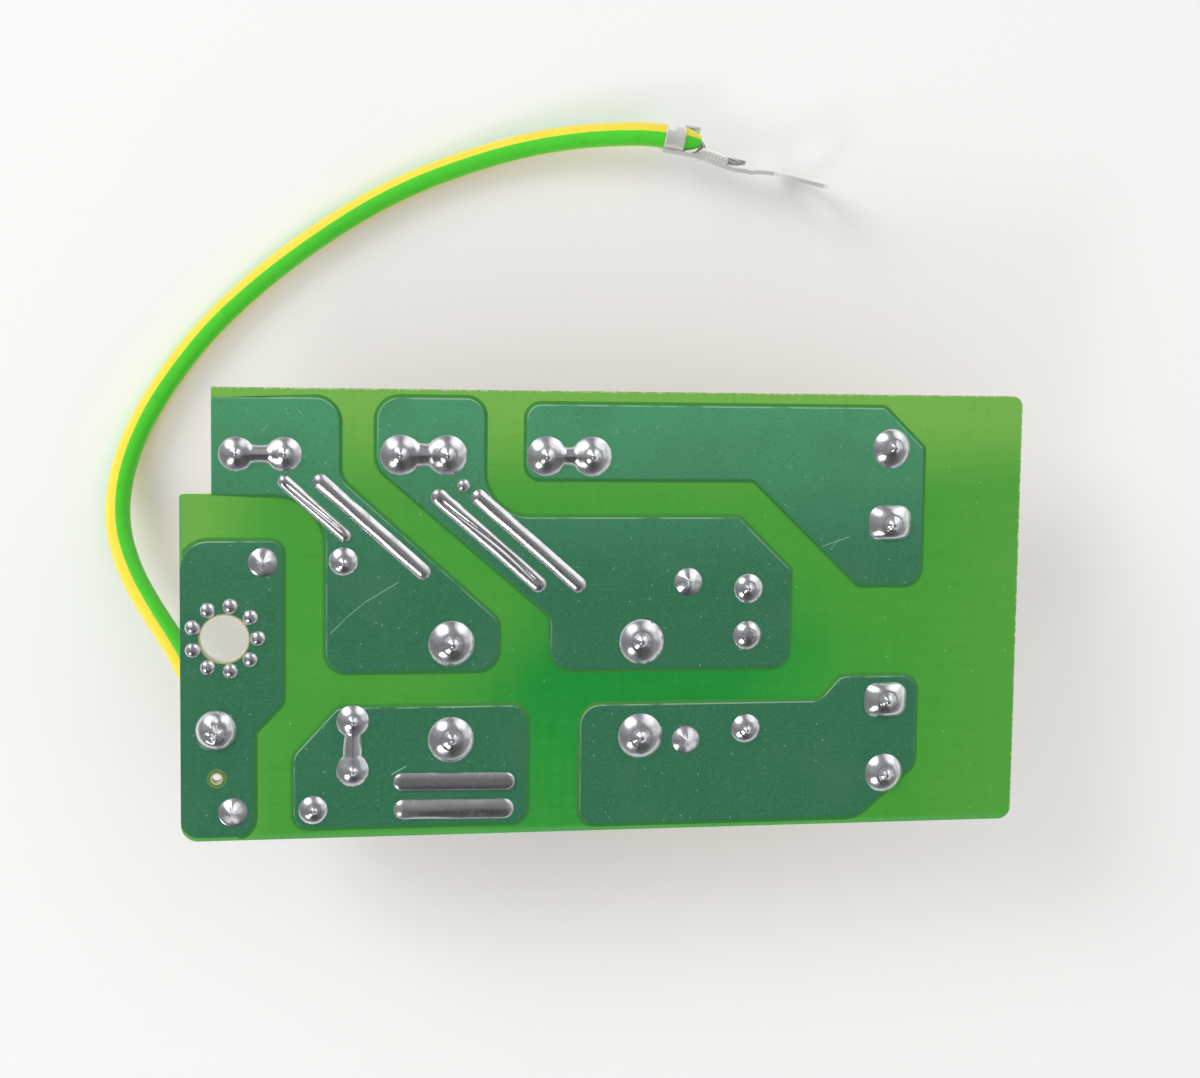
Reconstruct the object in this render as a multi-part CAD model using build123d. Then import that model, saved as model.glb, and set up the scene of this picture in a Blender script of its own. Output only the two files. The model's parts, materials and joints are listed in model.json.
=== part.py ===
from build123d import *
import math
import os

# Mains noise filter board of a microwave oven.
#
# The board lies solder side up and stands level on its two tallest components, the choke and
# the box capacitor. All sizes are millimetres, +Z is up, and the origin is on the table under
# the middle of the board. Places on the board are measured from its lower left corner.
#
# Nets, as the copper shows them: neutral goes in at one tab, through a choke winding and out
# at a second tab. Live goes in at a third tab, through the other winding and the fuse, and
# out at the fourth. The ground pour holds the screw hole, the wire and both Y capacitors.

# ---------------------------------------------------------------- driving dimensions
# Board
BOARD_LENGTH = 90.3
BOARD_WIDTH = 46.9
BOARD_THICKNESS = 1.6
NOTCH_LENGTH = 3.2
NOTCH_WIDTH = 10.9
CORNER_FRONT_LEFT = 1.8
CORNER_FRONT_RIGHT = 1.4
CORNER_REAR_RIGHT = 1.2
CORNER_NOTCH = 0.4
STANDOFF = 19.0
COPPER_THICKNESS = 0.12
HOLE_CLEARANCE = 0.15
LEAD_HOLE_SIDES = 8
SEAT_GAP = 0.05

# Screw hole with its ring of solder beads
SCREW_HOLE_AT = (4.45, 21.1)
SCREW_HOLE_RADIUS = 2.45
BEAD_CIRCLE_RADIUS = 3.4
BEAD_COUNT = 9
BEAD_RADIUS = 0.82
BEAD_HEIGHT = 0.75
BEAD_SIDES = 8
SPARE_HOLE_AT = (3.65, 6.55)
SPARE_HOLE_RADIUS = 0.47

# Push-on tab terminals: place of the middle, and the turn about Z
TAB_PLACES = {
    "neutral_in": (8.1, 40.1, 0),
    "neutral_out": (24.8, 40.1, 0),
    "live_out": (40.1, 40.05, 0),
    "live_in": (17.55, 9.7, 90),
}
TAB_WIDTH = 6.35
TAB_THICKNESS = 0.8
TAB_BLADE_LENGTH = 8.2
TAB_SHOULDER_WIDTH = 7.6
TAB_SHOULDER_HEIGHT = 1.6
TAB_TIP_CHAMFER = 1.3
TAB_LEG_PITCH = 5.08
TAB_LEG_WIDTH = 1.2
TAB_HOLE_RADIUS = 0.9
TAB_HOLE_FROM_TIP = 3.6

# Fuse and its clips
FUSE_AT = (75.45, 23.3)
FUSE_LENGTH = 32.0
FUSE_CAP_RADIUS = 3.18
FUSE_CAP_LENGTH = 6.4
FUSE_TUBE_RADIUS = 2.9
FUSE_CAP_WALL = 0.28
CLIP_FROM_FUSE_END = 2.25
CLIP_LEG_PITCH = 8.1
CLIP_SHEET = 0.5
CLIP_ARM_WIDTH = 5.6
CLIP_FUSE_GAP = 0.03
CLIP_FLOOR_GAP = 0.4
CLIP_GRIP_ANGLE = 42
CLIP_LIP_LENGTH = 1.7
CLIP_LIP_ANGLE = 75
CLIP_STOP_HEIGHT = 3.4
CLIP_INNER_LEG_WIDTH = 2.6
CLIP_OUTER_LEG_WIDTH = 1.4

# Common-mode choke
CHOKE_AT = (37.98, 15.25)
CHOKE_PIN_PITCH_X = 20.32
CHOKE_PIN_PITCH_Y = 10.16
CHOKE_BASE_RADIUS = 12.6
CHOKE_BASE_THICKNESS = 2.4
CHOKE_DIVIDER_THICKNESS = 1.0
CORE_INNER_RADIUS = 6.25
WINDING_WIRE = 1.14
WINDING_TURNS = 10
WINDING_SIDES = 6
WINDING_GAP = 0.1
WINDING_BEND = 0.45

# Box capacitor across the mains
X_CAPACITOR_AT = (59.75, 18.34)
X_CAPACITOR_LENGTH = 17.5
X_CAPACITOR_THICKNESS = 8.8
X_CAPACITOR_EDGE_RADIUS = 0.7
X_CAPACITOR_FOOT = 0.4
X_CAPACITOR_FOOT_SIZE = 1.4
X_CAPACITOR_PITCH = 15.24
X_CAPACITOR_SHORT_PITCH = 10.16
X_CAPACITOR_LEAD = 0.8

# Disc capacitors to ground
Y_CAPACITOR_PLACES = {"neutral": (12.46, 29.0), "live": (9.38, 3.0)}
Y_CAPACITOR_RADIUS = 4.5
Y_CAPACITOR_THICKNESS = 3.6
Y_CAPACITOR_RIM = 1.4
Y_CAPACITOR_STAND = 1.5
Y_CAPACITOR_PITCH = 8.2
Y_CAPACITOR_LEAD = 0.65
Y_CAPACITOR_LEAD_PITCH = 5.0
Y_CAPACITOR_SIDES = 20

# Discharge resistor
RESISTOR_AT = (53.1, 18.2)
RESISTOR_PITCH = 17.07
RESISTOR_LENGTH = 9.0
RESISTOR_RADIUS = 1.4
RESISTOR_END_RADIUS = 1.65
RESISTOR_END_LENGTH = 1.8
RESISTOR_SIDES = 14
RESISTOR_LEAD = 0.7
LEAD_BEND = 0.6
LEAD_SIDES = 8

# Solder joints: base radius and height of each kind
SOLDER_TABS = {
    "neutral_in": (1.76, 1.25),
    "neutral_out": (2.08, 1.3),
    "live_out": (2.08, 1.3),
    "live_in": (1.76, 1.25),
}
SOLDER_CHOKE = (2.42, 1.45)
SOLDER_CLIP_OUTER = (2.12, 1.35)
SOLDER_X_CAPACITOR = (1.58, 1.1)
SOLDER_RESISTOR = (1.52, 1.0)
SOLDER_Y_CAPACITOR = (1.5, 1.0)
SOLDER_GROUND = (2.15, 1.2)
SOLDER_SPOT = (0.72, 0.55)
SOLDER_SPOT_AT = (28.95, 36.93)
SOLDER_NECK_WIDTH = 1.7
SOLDER_NECK_HEIGHT = 0.65
SOLDER_SIDES = 10
# Half length, half width, corner radius and height of a clip's joint on its oblong pad
SOLDER_CLIP_INNER = (2.4, 1.98, 1.5, 1.35)
PAD_CORNER_STEPS = 2
# Share of the base radius and of the height, from the foot to the tip of the lead
SOLDER_PROFILE = ((1.0, 0.0), (0.84, 0.56), (0.3, 1.0), (0.2, 1.16))
BEAD_PROFILE = ((1.0, 0.0), (0.88, 0.5), (0.45, 1.0))

# Tinned bars: middle, length, width, and turn about Z
SOLDER_BARS = {
    "neutral_in": ((13.6, 34.5, 9.8, 1.45, -42), (19.5, 32.6, 15.8, 1.62, -41.5)),
    "neutral_out": ((31.7, 31.15, 15.8, 1.75, -41), (35.9, 31.1, 15.8, 1.65, -41)),
    "live_in": ((28.2, 5.7, 13.1, 2.0, -0.8), (28.2, 2.75, 12.8, 2.1, -0.8)),
}
SOLDER_BAR_HEIGHT = 0.45
SOLDER_BAR_SLOPE = 0.26
SOLDER_BAR_END_SIDES = 5

# Copper pours: corners as (x, y, corner radius)
COPPER_OUTLINES = {
    "neutral_in": (
        (NOTCH_LENGTH, 45.8, 0.3),
        (NOTCH_LENGTH, 36.05, 0),
        (14.9, 36.05, 5.4),
        (14.9, 17.6, 2.0),
        (32.6, 17.6, 2.0),
        (32.6, 22.7, 1.6),
        (16.0, 37.6, 2.6),
        (16.0, 45.8, 2.4),
    ),
    "neutral_out": (
        (20.1, 45.9, 2.2),
        (20.1, 38.9, 2.4),
        (38.45, 23.2, 1.6),
        (38.45, 17.55, 2.1),
        (64.2, 17.55, 1.7),
        (64.2, 28.0, 0.6),
        (58.5, 33.5, 0.5),
        (31.0, 33.5, 5.0),
        (31.0, 45.9, 1.8),
    ),
    "live_out": (
        (35.7, 45.35, 1.4),
        (35.7, 37.8, 1.4),
        (60.2, 37.8, 1.2),
        (72.1, 26.4, 1.2),
        (78.9, 26.4, 1.7),
        (78.9, 41.1, 0.4),
        (74.5, 45.35, 0.4),
    ),
    "live_in": (
        (16.1, 13.6, 1.2),
        (11.6, 8.7, 1.6),
        (11.6, 1.25, 1.4),
        (35.8, 1.25, 1.4),
        (35.8, 13.6, 1.7),
    ),
    "live_fused": (
        (41.7, 13.5, 2.1),
        (41.7, 0.85, 1.5),
        (72.4, 0.85, 3.0),
        (78.75, 6.4, 1.6),
        (78.75, 16.15, 1.6),
        (70.4, 16.15, 1.4),
        (68.0, 13.5, 1.4),
    ),
    "ground": (
        (0, 31.05, 2.9),
        (0, 0.4, CORNER_FRONT_LEFT),
        (7.35, 0.4, 2.0),
        (7.35, 11.4, 1.2),
        (10.25, 14.4, 1.4),
        (10.25, 31.05, 1.2),
    ),
}

# Ground wire and its ring terminal
GROUND_WIRE_AT = (3.54, 11.52)
CONDUCTOR_RADIUS = 0.5
WIRE_RADIUS = 1.35
WIRE_SIDES = 10
SHORTEST_ARC_SHARE = 0.45
TERMINAL_AT = (8.45, 50.65)
TERMINAL_HEADING = -11.7
TERMINAL_LEAN = 9.5
TERMINAL_SHEET = 0.45
TERMINAL_FLOOR_WIDTH = 3.0
# Where the sheet starts and bends: along the terminal, and across it
TERMINAL_BENDS = ((0.0, 0.0), (3.19, 0.26), (7.9, -0.26), (12.3, 0.42))
RING_RADIUS = 3.6
RING_HOLE_RADIUS = 2.15
RING_CENTRE = 15.75
WIRE_APPROACH = 1.8
INSULATION_CRIMP = (0.2, 2.3)
INSULATION_CRIMP_WALL = 0.3
INSULATION_CRIMP_CLEARANCE = 0.04
INSULATION_END = 3.2
CONDUCTOR_CRIMP = (1.15, 3.74)
CONDUCTOR_CRIMP_WALL = 0.3
CRIMP_SIDES = 14
# The bare strands: straight run out of the insulation, reach of the bend into the crimp, and
# the place of their cut ends along and across the terminal
STRANDS_STRAIGHT = 0.3
STRANDS_BEND = 1.25
STRANDS_CUT = (8.9, 0.62)

# ---------------------------------------------------------------- derived levels
TABLE = 0.0
COMPONENT_FACE = TABLE + STANDOFF
SOLDER_FACE = COMPONENT_FACE + BOARD_THICKNESS
COPPER_FACE = SOLDER_FACE + COPPER_THICKNESS


def spot(x, y, z=0.0):
    """Point measured from the board's lower left corner, at the height z."""
    return Vector(x - BOARD_LENGTH / 2, y - BOARD_WIDTH / 2, z)


def along_y(at, reach, z=0.0):
    """Pair of points in front of and behind a place on the board."""
    return [spot(at[0], at[1] + side * reach, z) for side in (-1, 1)]


def along_x(at, reach, z=0.0):
    """Pair of points left and right of a place on the board."""
    return [spot(at[0] + side * reach, at[1], z) for side in (-1, 1)]


CHOKE_PINS = {
    net: along_x((CHOKE_AT[0], CHOKE_AT[1] + side * CHOKE_PIN_PITCH_Y / 2), CHOKE_PIN_PITCH_X / 2)
    for net, side in (("neutral", 1), ("live", -1))
}
X_CAPACITOR_LEADS = along_y(X_CAPACITOR_AT, X_CAPACITOR_PITCH / 2)
X_CAPACITOR_SPARE = X_CAPACITOR_LEADS[0] + Vector(0, X_CAPACITOR_SHORT_PITCH, 0)
RESISTOR_LEADS = along_y(RESISTOR_AT, RESISTOR_PITCH / 2)
Y_CAPACITOR_LEADS = {
    net: along_x(at, Y_CAPACITOR_PITCH / 2) for net, at in Y_CAPACITOR_PLACES.items()
}
# Each clip's middle, and the side on which its end stop stands
CLIP_REACH = FUSE_LENGTH / 2 - CLIP_FROM_FUSE_END
CLIP_PLACES = {
    "front": (FUSE_AT[0], FUSE_AT[1] - CLIP_REACH, -1),
    "rear": (FUSE_AT[0], FUSE_AT[1] + CLIP_REACH, 1),
}


# ---------------------------------------------------------------- shared shapes
def outline(corners):
    """Face inside a closed run of (x, y, corner radius)."""
    points = [spot(x, y) for x, y, _ in corners]
    radii = [radius for _, _, radius in corners]
    return make_face(FilletPolyline(*points, radius=radii, close=True).edges())


def ringed_solid(rings):
    """Flat-sided solid through a list of rings with the same number of points."""
    faces = [Face(Wire.make_polygon(rings[0])), Face(Wire.make_polygon(rings[-1]))]
    for low, high in zip(rings, rings[1:]):
        for index in range(len(low)):
            after = (index + 1) % len(low)
            side = [low[index], low[after], high[after], high[index]]
            faces.append(Face(Wire.make_polygon(side)))
    return Solid(Shell(faces))


def level_ring(centre, radius, sides):
    """Regular ring of points round a centre, parallel to the board."""
    turns = [2 * math.pi * (index + 0.5) / sides for index in range(sides)]
    return [centre + Vector(math.cos(turn), math.sin(turn), 0) * radius for turn in turns]


def turned_body(centre, stations, sides):
    """Flat-sided body of revolution, upright at its centre, from (radius, height) stations."""
    rings = [
        level_ring(centre + Vector(0, 0, height), radius, sides) for radius, height in stations
    ]
    return ringed_solid(rings)


def mitred_bar(points, ring):
    """Flat-sided bar through the points, mitred at every bend, from its first ring of points."""
    travel = [(end - start).normalized() for start, end in zip(points, points[1:])]
    rings = [ring]
    for index, corner in enumerate(points[1:]):
        ahead = travel[min(index + 1, len(travel) - 1)]
        mitre = (travel[index] + ahead).normalized()
        pace = travel[index].dot(mitre)
        ring = [
            point + travel[index] * ((corner - point).dot(mitre) / pace) for point in ring
        ]
        rings.append(ring)
    return ringed_solid(rings)


def mitred_wire(points, radius, sides=LEAD_SIDES):
    """Flat-sided wire through the points, mitred at every bend."""
    first = Plane(origin=points[0], z_dir=points[1] - points[0])
    turns = [2 * math.pi * (index + 0.5) / sides for index in range(sides)]
    ring = [
        first.from_local_coords((radius * math.cos(turn), radius * math.sin(turn), 0))
        for turn in turns
    ]
    return mitred_bar(points, ring)


def bevel_bends(points, setback):
    """Route with each inner corner cut back by the setback on both runs."""
    route = [points[0]]
    for before, corner, after in zip(points, points[1:], points[2:]):
        route.append(corner + (before - corner).normalized() * setback)
        route.append(corner + (after - corner).normalized() * setback)
    route.append(points[-1])
    return route


def drop(point, z):
    """The same place at another height."""
    return Vector(point.X, point.Y, z)


# ---------------------------------------------------------------- board
def board_face():
    """Outline of the board, with the notch at its rear left corner."""
    rear = BOARD_WIDTH - NOTCH_WIDTH
    return outline(
        (
            (0, 0, CORNER_FRONT_LEFT),
            (BOARD_LENGTH, 0, CORNER_FRONT_RIGHT),
            (BOARD_LENGTH, BOARD_WIDTH, CORNER_REAR_RIGHT),
            (NOTCH_LENGTH, BOARD_WIDTH, 0),
            (NOTCH_LENGTH, rear, 0),
            (0, rear, CORNER_NOTCH),
        )
    )


def round_hole(point, radius):
    """Hole outline for a screw, or for a lead that isn't fitted."""
    return Pos(point.X, point.Y) * Circle(radius)


def lead_hole(point, radius):
    """Flat-sided hole outline, hidden under its joint, that a round lead clears."""
    room = RegularPolygon(radius + HOLE_CLEARANCE, LEAD_HOLE_SIDES, major_radius=False)
    return Pos(point.X, point.Y) * room


def slot_hole(point, size_x, size_y):
    """Punched hole outline for a flat leg."""
    room = 2 * HOLE_CLEARANCE
    return Pos(point.X, point.Y) * Rectangle(size_x + room, size_y + room)


def tab_legs(place):
    """The two leg places of a tab terminal."""
    x, y, turn = place
    return (along_y if turn else along_x)((x, y), TAB_LEG_PITCH / 2)


def board_holes():
    """Every hole through the laminate and the copper on it."""
    round_leads = [(pin, WINDING_WIRE / 2) for pins in CHOKE_PINS.values() for pin in pins]
    round_leads += [(lead, X_CAPACITOR_LEAD / 2) for lead in X_CAPACITOR_LEADS]
    round_leads += [(lead, RESISTOR_LEAD / 2) for lead in RESISTOR_LEADS]
    round_leads += [
        (lead, Y_CAPACITOR_LEAD / 2) for leads in Y_CAPACITOR_LEADS.values() for lead in leads
    ]
    round_leads.append((spot(*GROUND_WIRE_AT), CONDUCTOR_RADIUS))
    holes = [lead_hole(point, radius) for point, radius in round_leads]
    holes.append(round_hole(spot(*SCREW_HOLE_AT), SCREW_HOLE_RADIUS))
    holes.append(round_hole(spot(*SPARE_HOLE_AT), SPARE_HOLE_RADIUS))
    for place in TAB_PLACES.values():
        size = (TAB_THICKNESS, TAB_LEG_WIDTH) if place[2] else (TAB_LEG_WIDTH, TAB_THICKNESS)
        holes += [slot_hole(leg, *size) for leg in tab_legs(place)]
    for x, y, stop_side in CLIP_PLACES.values():
        front, rear = along_y((x, y), CLIP_LEG_PITCH / 2)
        outer, inner = (front, rear) if stop_side < 0 else (rear, front)
        holes.append(slot_hole(outer, CLIP_OUTER_LEG_WIDTH, CLIP_SHEET))
        holes.append(slot_hole(inner, CLIP_INNER_LEG_WIDTH, CLIP_SHEET))
    return holes


def build_board():
    """Laminate and the copper pours on it."""
    holes = board_holes()
    laminate = extrude(board_face() - holes, BOARD_THICKNESS)
    nodes = {"board_laminate": Pos(0, 0, COMPONENT_FACE) * laminate}
    for net, corners in COPPER_OUTLINES.items():
        pour = extrude(outline(corners) - holes, COPPER_THICKNESS)
        nodes[f"copper_{net}"] = Pos(0, 0, SOLDER_FACE) * pour
    return nodes


# ---------------------------------------------------------------- tab terminals
def build_tab(place):
    """Tab terminal: two legs through the board, a shoulder under it, and a pierced blade."""
    x, y, turn = place
    half_leg = TAB_LEG_WIDTH / 2
    half_shoulder = TAB_SHOULDER_WIDTH / 2
    half_blade = TAB_WIDTH / 2
    shoulder_low = COMPONENT_FACE - TAB_SHOULDER_HEIGHT
    tip = shoulder_low - TAB_BLADE_LENGTH
    blade = Polygon(
        (-half_shoulder, COMPONENT_FACE),
        (-half_shoulder, shoulder_low),
        (-half_blade, shoulder_low),
        (-half_blade, tip + TAB_TIP_CHAMFER),
        (-half_blade + TAB_TIP_CHAMFER, tip),
        (half_blade - TAB_TIP_CHAMFER, tip),
        (half_blade, tip + TAB_TIP_CHAMFER),
        (half_blade, shoulder_low),
        (half_shoulder, shoulder_low),
        (half_shoulder, COMPONENT_FACE),
        align=None,
    )
    leg_height = COPPER_FACE - COMPONENT_FACE
    leg = Rectangle(2 * half_leg, leg_height, align=(Align.CENTER, Align.MIN))
    legs = [Pos(side * TAB_LEG_PITCH / 2, COMPONENT_FACE) * leg for side in (-1, 1)]
    hole = Pos(0, tip + TAB_HOLE_FROM_TIP) * Circle(TAB_HOLE_RADIUS)
    stamping = blade + legs - hole
    upright = Plane.XZ * extrude(stamping, TAB_THICKNESS / 2, both=True)
    return Pos(spot(x, y)) * Rot(0, 0, turn) * upright


# ---------------------------------------------------------------- fuse
def fuse_axis_height():
    """Height of the fuse's middle, hanging in the clips under the board."""
    return COMPONENT_FACE - CLIP_SHEET - CLIP_FLOOR_GAP - FUSE_CAP_RADIUS


def build_clip(place):
    """Spring clip bent from one strip: floor, two gripping arms, end stop and two legs."""
    x, y, stop_side = place
    grip = FUSE_CAP_RADIUS + CLIP_FUSE_GAP
    outer = grip + CLIP_SHEET
    axis = fuse_axis_height()
    floor_length = CLIP_LEG_PITCH + CLIP_SHEET
    floor_middle = COMPONENT_FACE - CLIP_SHEET / 2
    floor = Pos(0, 0, floor_middle) * Box(2 * outer, floor_length, CLIP_SHEET)
    side_height = COMPONENT_FACE - axis
    side = Pos(grip + CLIP_SHEET / 2, axis + side_height / 2) * Rectangle(CLIP_SHEET, side_height)
    wedge = Polygon(
        (0, 0),
        (2 * outer, 0),
        (2 * outer, -2 * outer * math.tan(math.radians(CLIP_GRIP_ANGLE))),
        align=None,
    )
    curl = Pos(0, axis) * ((Circle(outer) - Circle(grip)) & wedge)
    lip = Rectangle(CLIP_SHEET, CLIP_LIP_LENGTH, align=(Align.MIN, Align.MAX))
    lip = Pos(0, axis) * Rot(0, 0, -CLIP_GRIP_ANGLE) * Pos(grip, 0) * Rot(0, 0, CLIP_LIP_ANGLE) * lip
    arm = Plane.XZ * extrude(side + curl + lip, CLIP_ARM_WIDTH / 2, both=True)
    stop_y = stop_side * stop_reach()
    stop_z = COMPONENT_FACE - CLIP_STOP_HEIGHT / 2
    stop = Pos(0, stop_y, stop_z) * Box(CLIP_ARM_WIDTH, CLIP_SHEET, CLIP_STOP_HEIGHT)
    leg_height = COPPER_FACE - COMPONENT_FACE
    leg_middle = COMPONENT_FACE + leg_height / 2
    outer_leg = Box(CLIP_OUTER_LEG_WIDTH, CLIP_SHEET, leg_height)
    inner_leg = Box(CLIP_INNER_LEG_WIDTH, CLIP_SHEET, leg_height)
    reach = stop_side * CLIP_LEG_PITCH / 2
    clip = floor + arm + mirror(arm, Plane.YZ) + stop
    clip += Pos(0, reach, leg_middle) * outer_leg
    clip += Pos(0, -reach, leg_middle) * inner_leg
    return Pos(spot(x, y)) * clip


def stop_reach():
    """Distance from a clip's middle to the middle of its end stop."""
    return CLIP_FROM_FUSE_END + SEAT_GAP + CLIP_SHEET / 2


def build_fuse():
    """Ceramic tube with a metal cap pressed over each end."""
    axis = spot(*FUSE_AT, fuse_axis_height())
    half = FUSE_LENGTH / 2
    tube_length = FUSE_LENGTH - 2 * FUSE_CAP_WALL
    lying = Rot(90, 0, 0)
    nodes = {"fuse_tube": Pos(axis) * lying * Cylinder(FUSE_TUBE_RADIUS, tube_length)}
    shell = Cylinder(FUSE_CAP_RADIUS, FUSE_CAP_LENGTH)
    pocket = Cylinder(FUSE_TUBE_RADIUS, FUSE_CAP_LENGTH - FUSE_CAP_WALL)
    for name, side in (("front", -1), ("rear", 1)):
        bore = Pos(0, -side * FUSE_CAP_WALL / 2, 0) * lying * pocket
        cap = lying * shell - bore
        middle = Vector(0, side * (half - FUSE_CAP_LENGTH / 2), 0)
        nodes[f"fuse_cap_{name}"] = Pos(axis + middle) * cap
    return nodes


# ---------------------------------------------------------------- choke
def choke_levels():
    """Heights of the base's underside, both winding layers and the core's two faces."""
    wire = WINDING_WIRE / 2
    base_low = COMPONENT_FACE - CHOKE_BASE_THICKNESS
    near = base_low - WINDING_GAP - wire
    far = TABLE + wire
    return base_low, near, far, near - wire - WINDING_GAP, far + wire + WINDING_GAP


def build_choke():
    """Ring core under a moulded base with a divider, wound on both halves."""
    base_low, near, far, core_high, core_low = choke_levels()
    middle = spot(*CHOKE_AT)
    pin_circle = math.hypot(CHOKE_PIN_PITCH_X, CHOKE_PIN_PITCH_Y) / 2
    wire = WINDING_WIRE / 2
    core_outer = pin_circle - wire - WINDING_GAP
    inner_circle = CORE_INNER_RADIUS - wire - WINDING_GAP
    core_height = core_high - core_low
    ring = Circle(core_outer) - Circle(CORE_INNER_RADIUS)
    core = Pos(drop(middle, core_low)) * extrude(ring, core_height)

    disc = Pos(middle.X, middle.Y) * Circle(CHOKE_BASE_RADIUS)
    holes = [lead_hole(pin, wire) for pins in CHOKE_PINS.values() for pin in pins]
    base = Pos(0, 0, base_low) * extrude(disc - holes, CHOKE_BASE_THICKNESS)
    divider_length = 2 * (CORE_INNER_RADIUS - SEAT_GAP) - CHOKE_DIVIDER_THICKNESS
    divider_height = base_low - core_low
    divider = Box(divider_length, CHOKE_DIVIDER_THICKNESS, divider_height)
    base += Pos(drop(middle, core_low + divider_height / 2)) * divider

    nodes = {"choke_core": core, "choke_base": base}
    for net, side in (("neutral", 1), ("live", -1)):
        route = winding_route(side, (near, far), (inner_circle, pin_circle))
        bent = bevel_bends(route, WINDING_BEND)
        nodes[f"choke_winding_{net}"] = mitred_wire(bent, wire, WINDING_SIDES)
    return nodes


def winding_route(side, levels, circles):
    """Run of one winding round its half of the core, from pin to pin.

    Each turn goes in over the core, down through its middle, out under it and up again,
    half a step further round at each pass.
    """
    near, far = levels
    inner_circle, pin_circle = circles
    pin_angle = math.atan2(CHOKE_PIN_PITCH_Y, CHOKE_PIN_PITCH_X)
    half_step = (math.pi - 2 * pin_angle) / WINDING_TURNS / 2

    def on_ring(radius, passes, z):
        angle = math.pi - pin_angle - passes * half_step
        return spot(*CHOKE_AT, z) + Vector(math.cos(angle), side * math.sin(angle), 0) * radius

    route = [on_ring(pin_circle, 0, COPPER_FACE), on_ring(pin_circle, 0, near)]
    for turn in range(WINDING_TURNS):
        inside = 2 * turn + 1
        outside = 2 * turn + 2
        route.append(on_ring(inner_circle, inside, near))
        route.append(on_ring(inner_circle, inside, far))
        route.append(on_ring(pin_circle, outside, far))
        route.append(on_ring(pin_circle, outside, near))
    route[-1] = drop(route[-1], COPPER_FACE)
    return route


# ---------------------------------------------------------------- capacitors and resistor
def build_x_capacitor():
    """Potted box on four small feet, with two straight leads."""
    middle = spot(*X_CAPACITOR_AT)
    case_height = COMPONENT_FACE - X_CAPACITOR_FOOT - TABLE
    plan = RectangleRounded(X_CAPACITOR_THICKNESS, X_CAPACITOR_LENGTH, X_CAPACITOR_EDGE_RADIUS)
    case = Pos(drop(middle, TABLE)) * extrude(plan, case_height)
    foot = Box(X_CAPACITOR_FOOT_SIZE, X_CAPACITOR_FOOT_SIZE, X_CAPACITOR_FOOT)
    inset = X_CAPACITOR_FOOT_SIZE / 2 + X_CAPACITOR_EDGE_RADIUS
    reach_x = X_CAPACITOR_THICKNESS / 2 - inset
    reach_y = X_CAPACITOR_LENGTH / 2 - inset
    foot_z = COMPONENT_FACE - X_CAPACITOR_FOOT / 2
    for side_x in (-1, 1):
        for side_y in (-1, 1):
            shift = Vector(side_x * reach_x, side_y * reach_y, 0)
            case += Pos(drop(middle, foot_z) + shift) * foot
    leads = [
        mitred_wire([drop(lead, case_height), drop(lead, COPPER_FACE)], X_CAPACITOR_LEAD / 2)
        for lead in X_CAPACITOR_LEADS
    ]
    return {"x_capacitor_case": case, "x_capacitor_leads": Compound(children=leads)}


def build_y_capacitor(net):
    """Dipped disc with two leads that spread to the holes."""
    left, right = Y_CAPACITOR_LEADS[net]
    middle = (left + right) * 0.5
    centre = drop(middle, COMPONENT_FACE - Y_CAPACITOR_STAND - Y_CAPACITOR_RADIUS)
    half = Y_CAPACITOR_THICKNESS / 2
    rim = Y_CAPACITOR_RADIUS
    flat = rim - Y_CAPACITOR_RIM
    shoulder = rim - Y_CAPACITOR_RIM / 4
    stations = [
        (flat, -half),
        (shoulder, -half / 2),
        (rim, 0),
        (shoulder, half / 2),
        (flat, half),
    ]
    disc = turned_body(Vector(0, 0, 0), stations, Y_CAPACITOR_SIDES)
    lens = Pos(centre) * Rot(90, 0, 0) * disc
    leads = []
    for side, lead in ((-1, left), (1, right)):
        root = centre + Vector(side * Y_CAPACITOR_LEAD_PITCH / 2, 0, 0)
        leave = drop(root, COMPONENT_FACE - Y_CAPACITOR_STAND)
        arrive = drop(lead, COMPONENT_FACE - Y_CAPACITOR_STAND / 3)
        wire = mitred_wire([root, leave, arrive, drop(lead, COPPER_FACE)], Y_CAPACITOR_LEAD / 2)
        leads.append(wire - lens)
    return {
        f"y_capacitor_{net}_body": lens,
        f"y_capacitor_{net}_leads": Compound(children=leads),
    }


def build_resistor():
    """Dipped axial resistor lying against the board, its leads bent into their holes."""
    axis = COMPONENT_FACE - SEAT_GAP - RESISTOR_END_RADIUS
    middle = spot(*RESISTOR_AT, axis)
    half = RESISTOR_LENGTH / 2
    bell = half - RESISTOR_END_LENGTH
    taper = RESISTOR_END_LENGTH / 4
    stations = [
        (RESISTOR_RADIUS, -half),
        (RESISTOR_END_RADIUS, taper - half),
        (RESISTOR_END_RADIUS, -bell - taper),
        (RESISTOR_RADIUS, -bell),
        (RESISTOR_RADIUS, bell),
        (RESISTOR_END_RADIUS, bell + taper),
        (RESISTOR_END_RADIUS, half - taper),
        (RESISTOR_RADIUS, half),
    ]
    upright = turned_body(Vector(0, 0, 0), stations, RESISTOR_SIDES)
    body = Pos(middle) * Rot(90, 0, 0) * upright
    leads = []
    for side, lead in zip((-1, 1), RESISTOR_LEADS):
        start = middle + Vector(0, side * half, 0)
        route = [start, drop(lead, axis), drop(lead, COPPER_FACE)]
        leads.append(mitred_wire(bevel_bends(route, LEAD_BEND), RESISTOR_LEAD / 2))
    return {"resistor_body": body, "resistor_leads": Compound(children=leads)}


# ---------------------------------------------------------------- solder
def dome(point, size):
    """Solder joint that stands on the copper, swelling round the tip of a lead."""
    radius, height = size
    stations = [(radius * share, height * rise) for share, rise in SOLDER_PROFILE]
    return turned_body(drop(point, COPPER_FACE), stations, SOLDER_SIDES)


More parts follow.
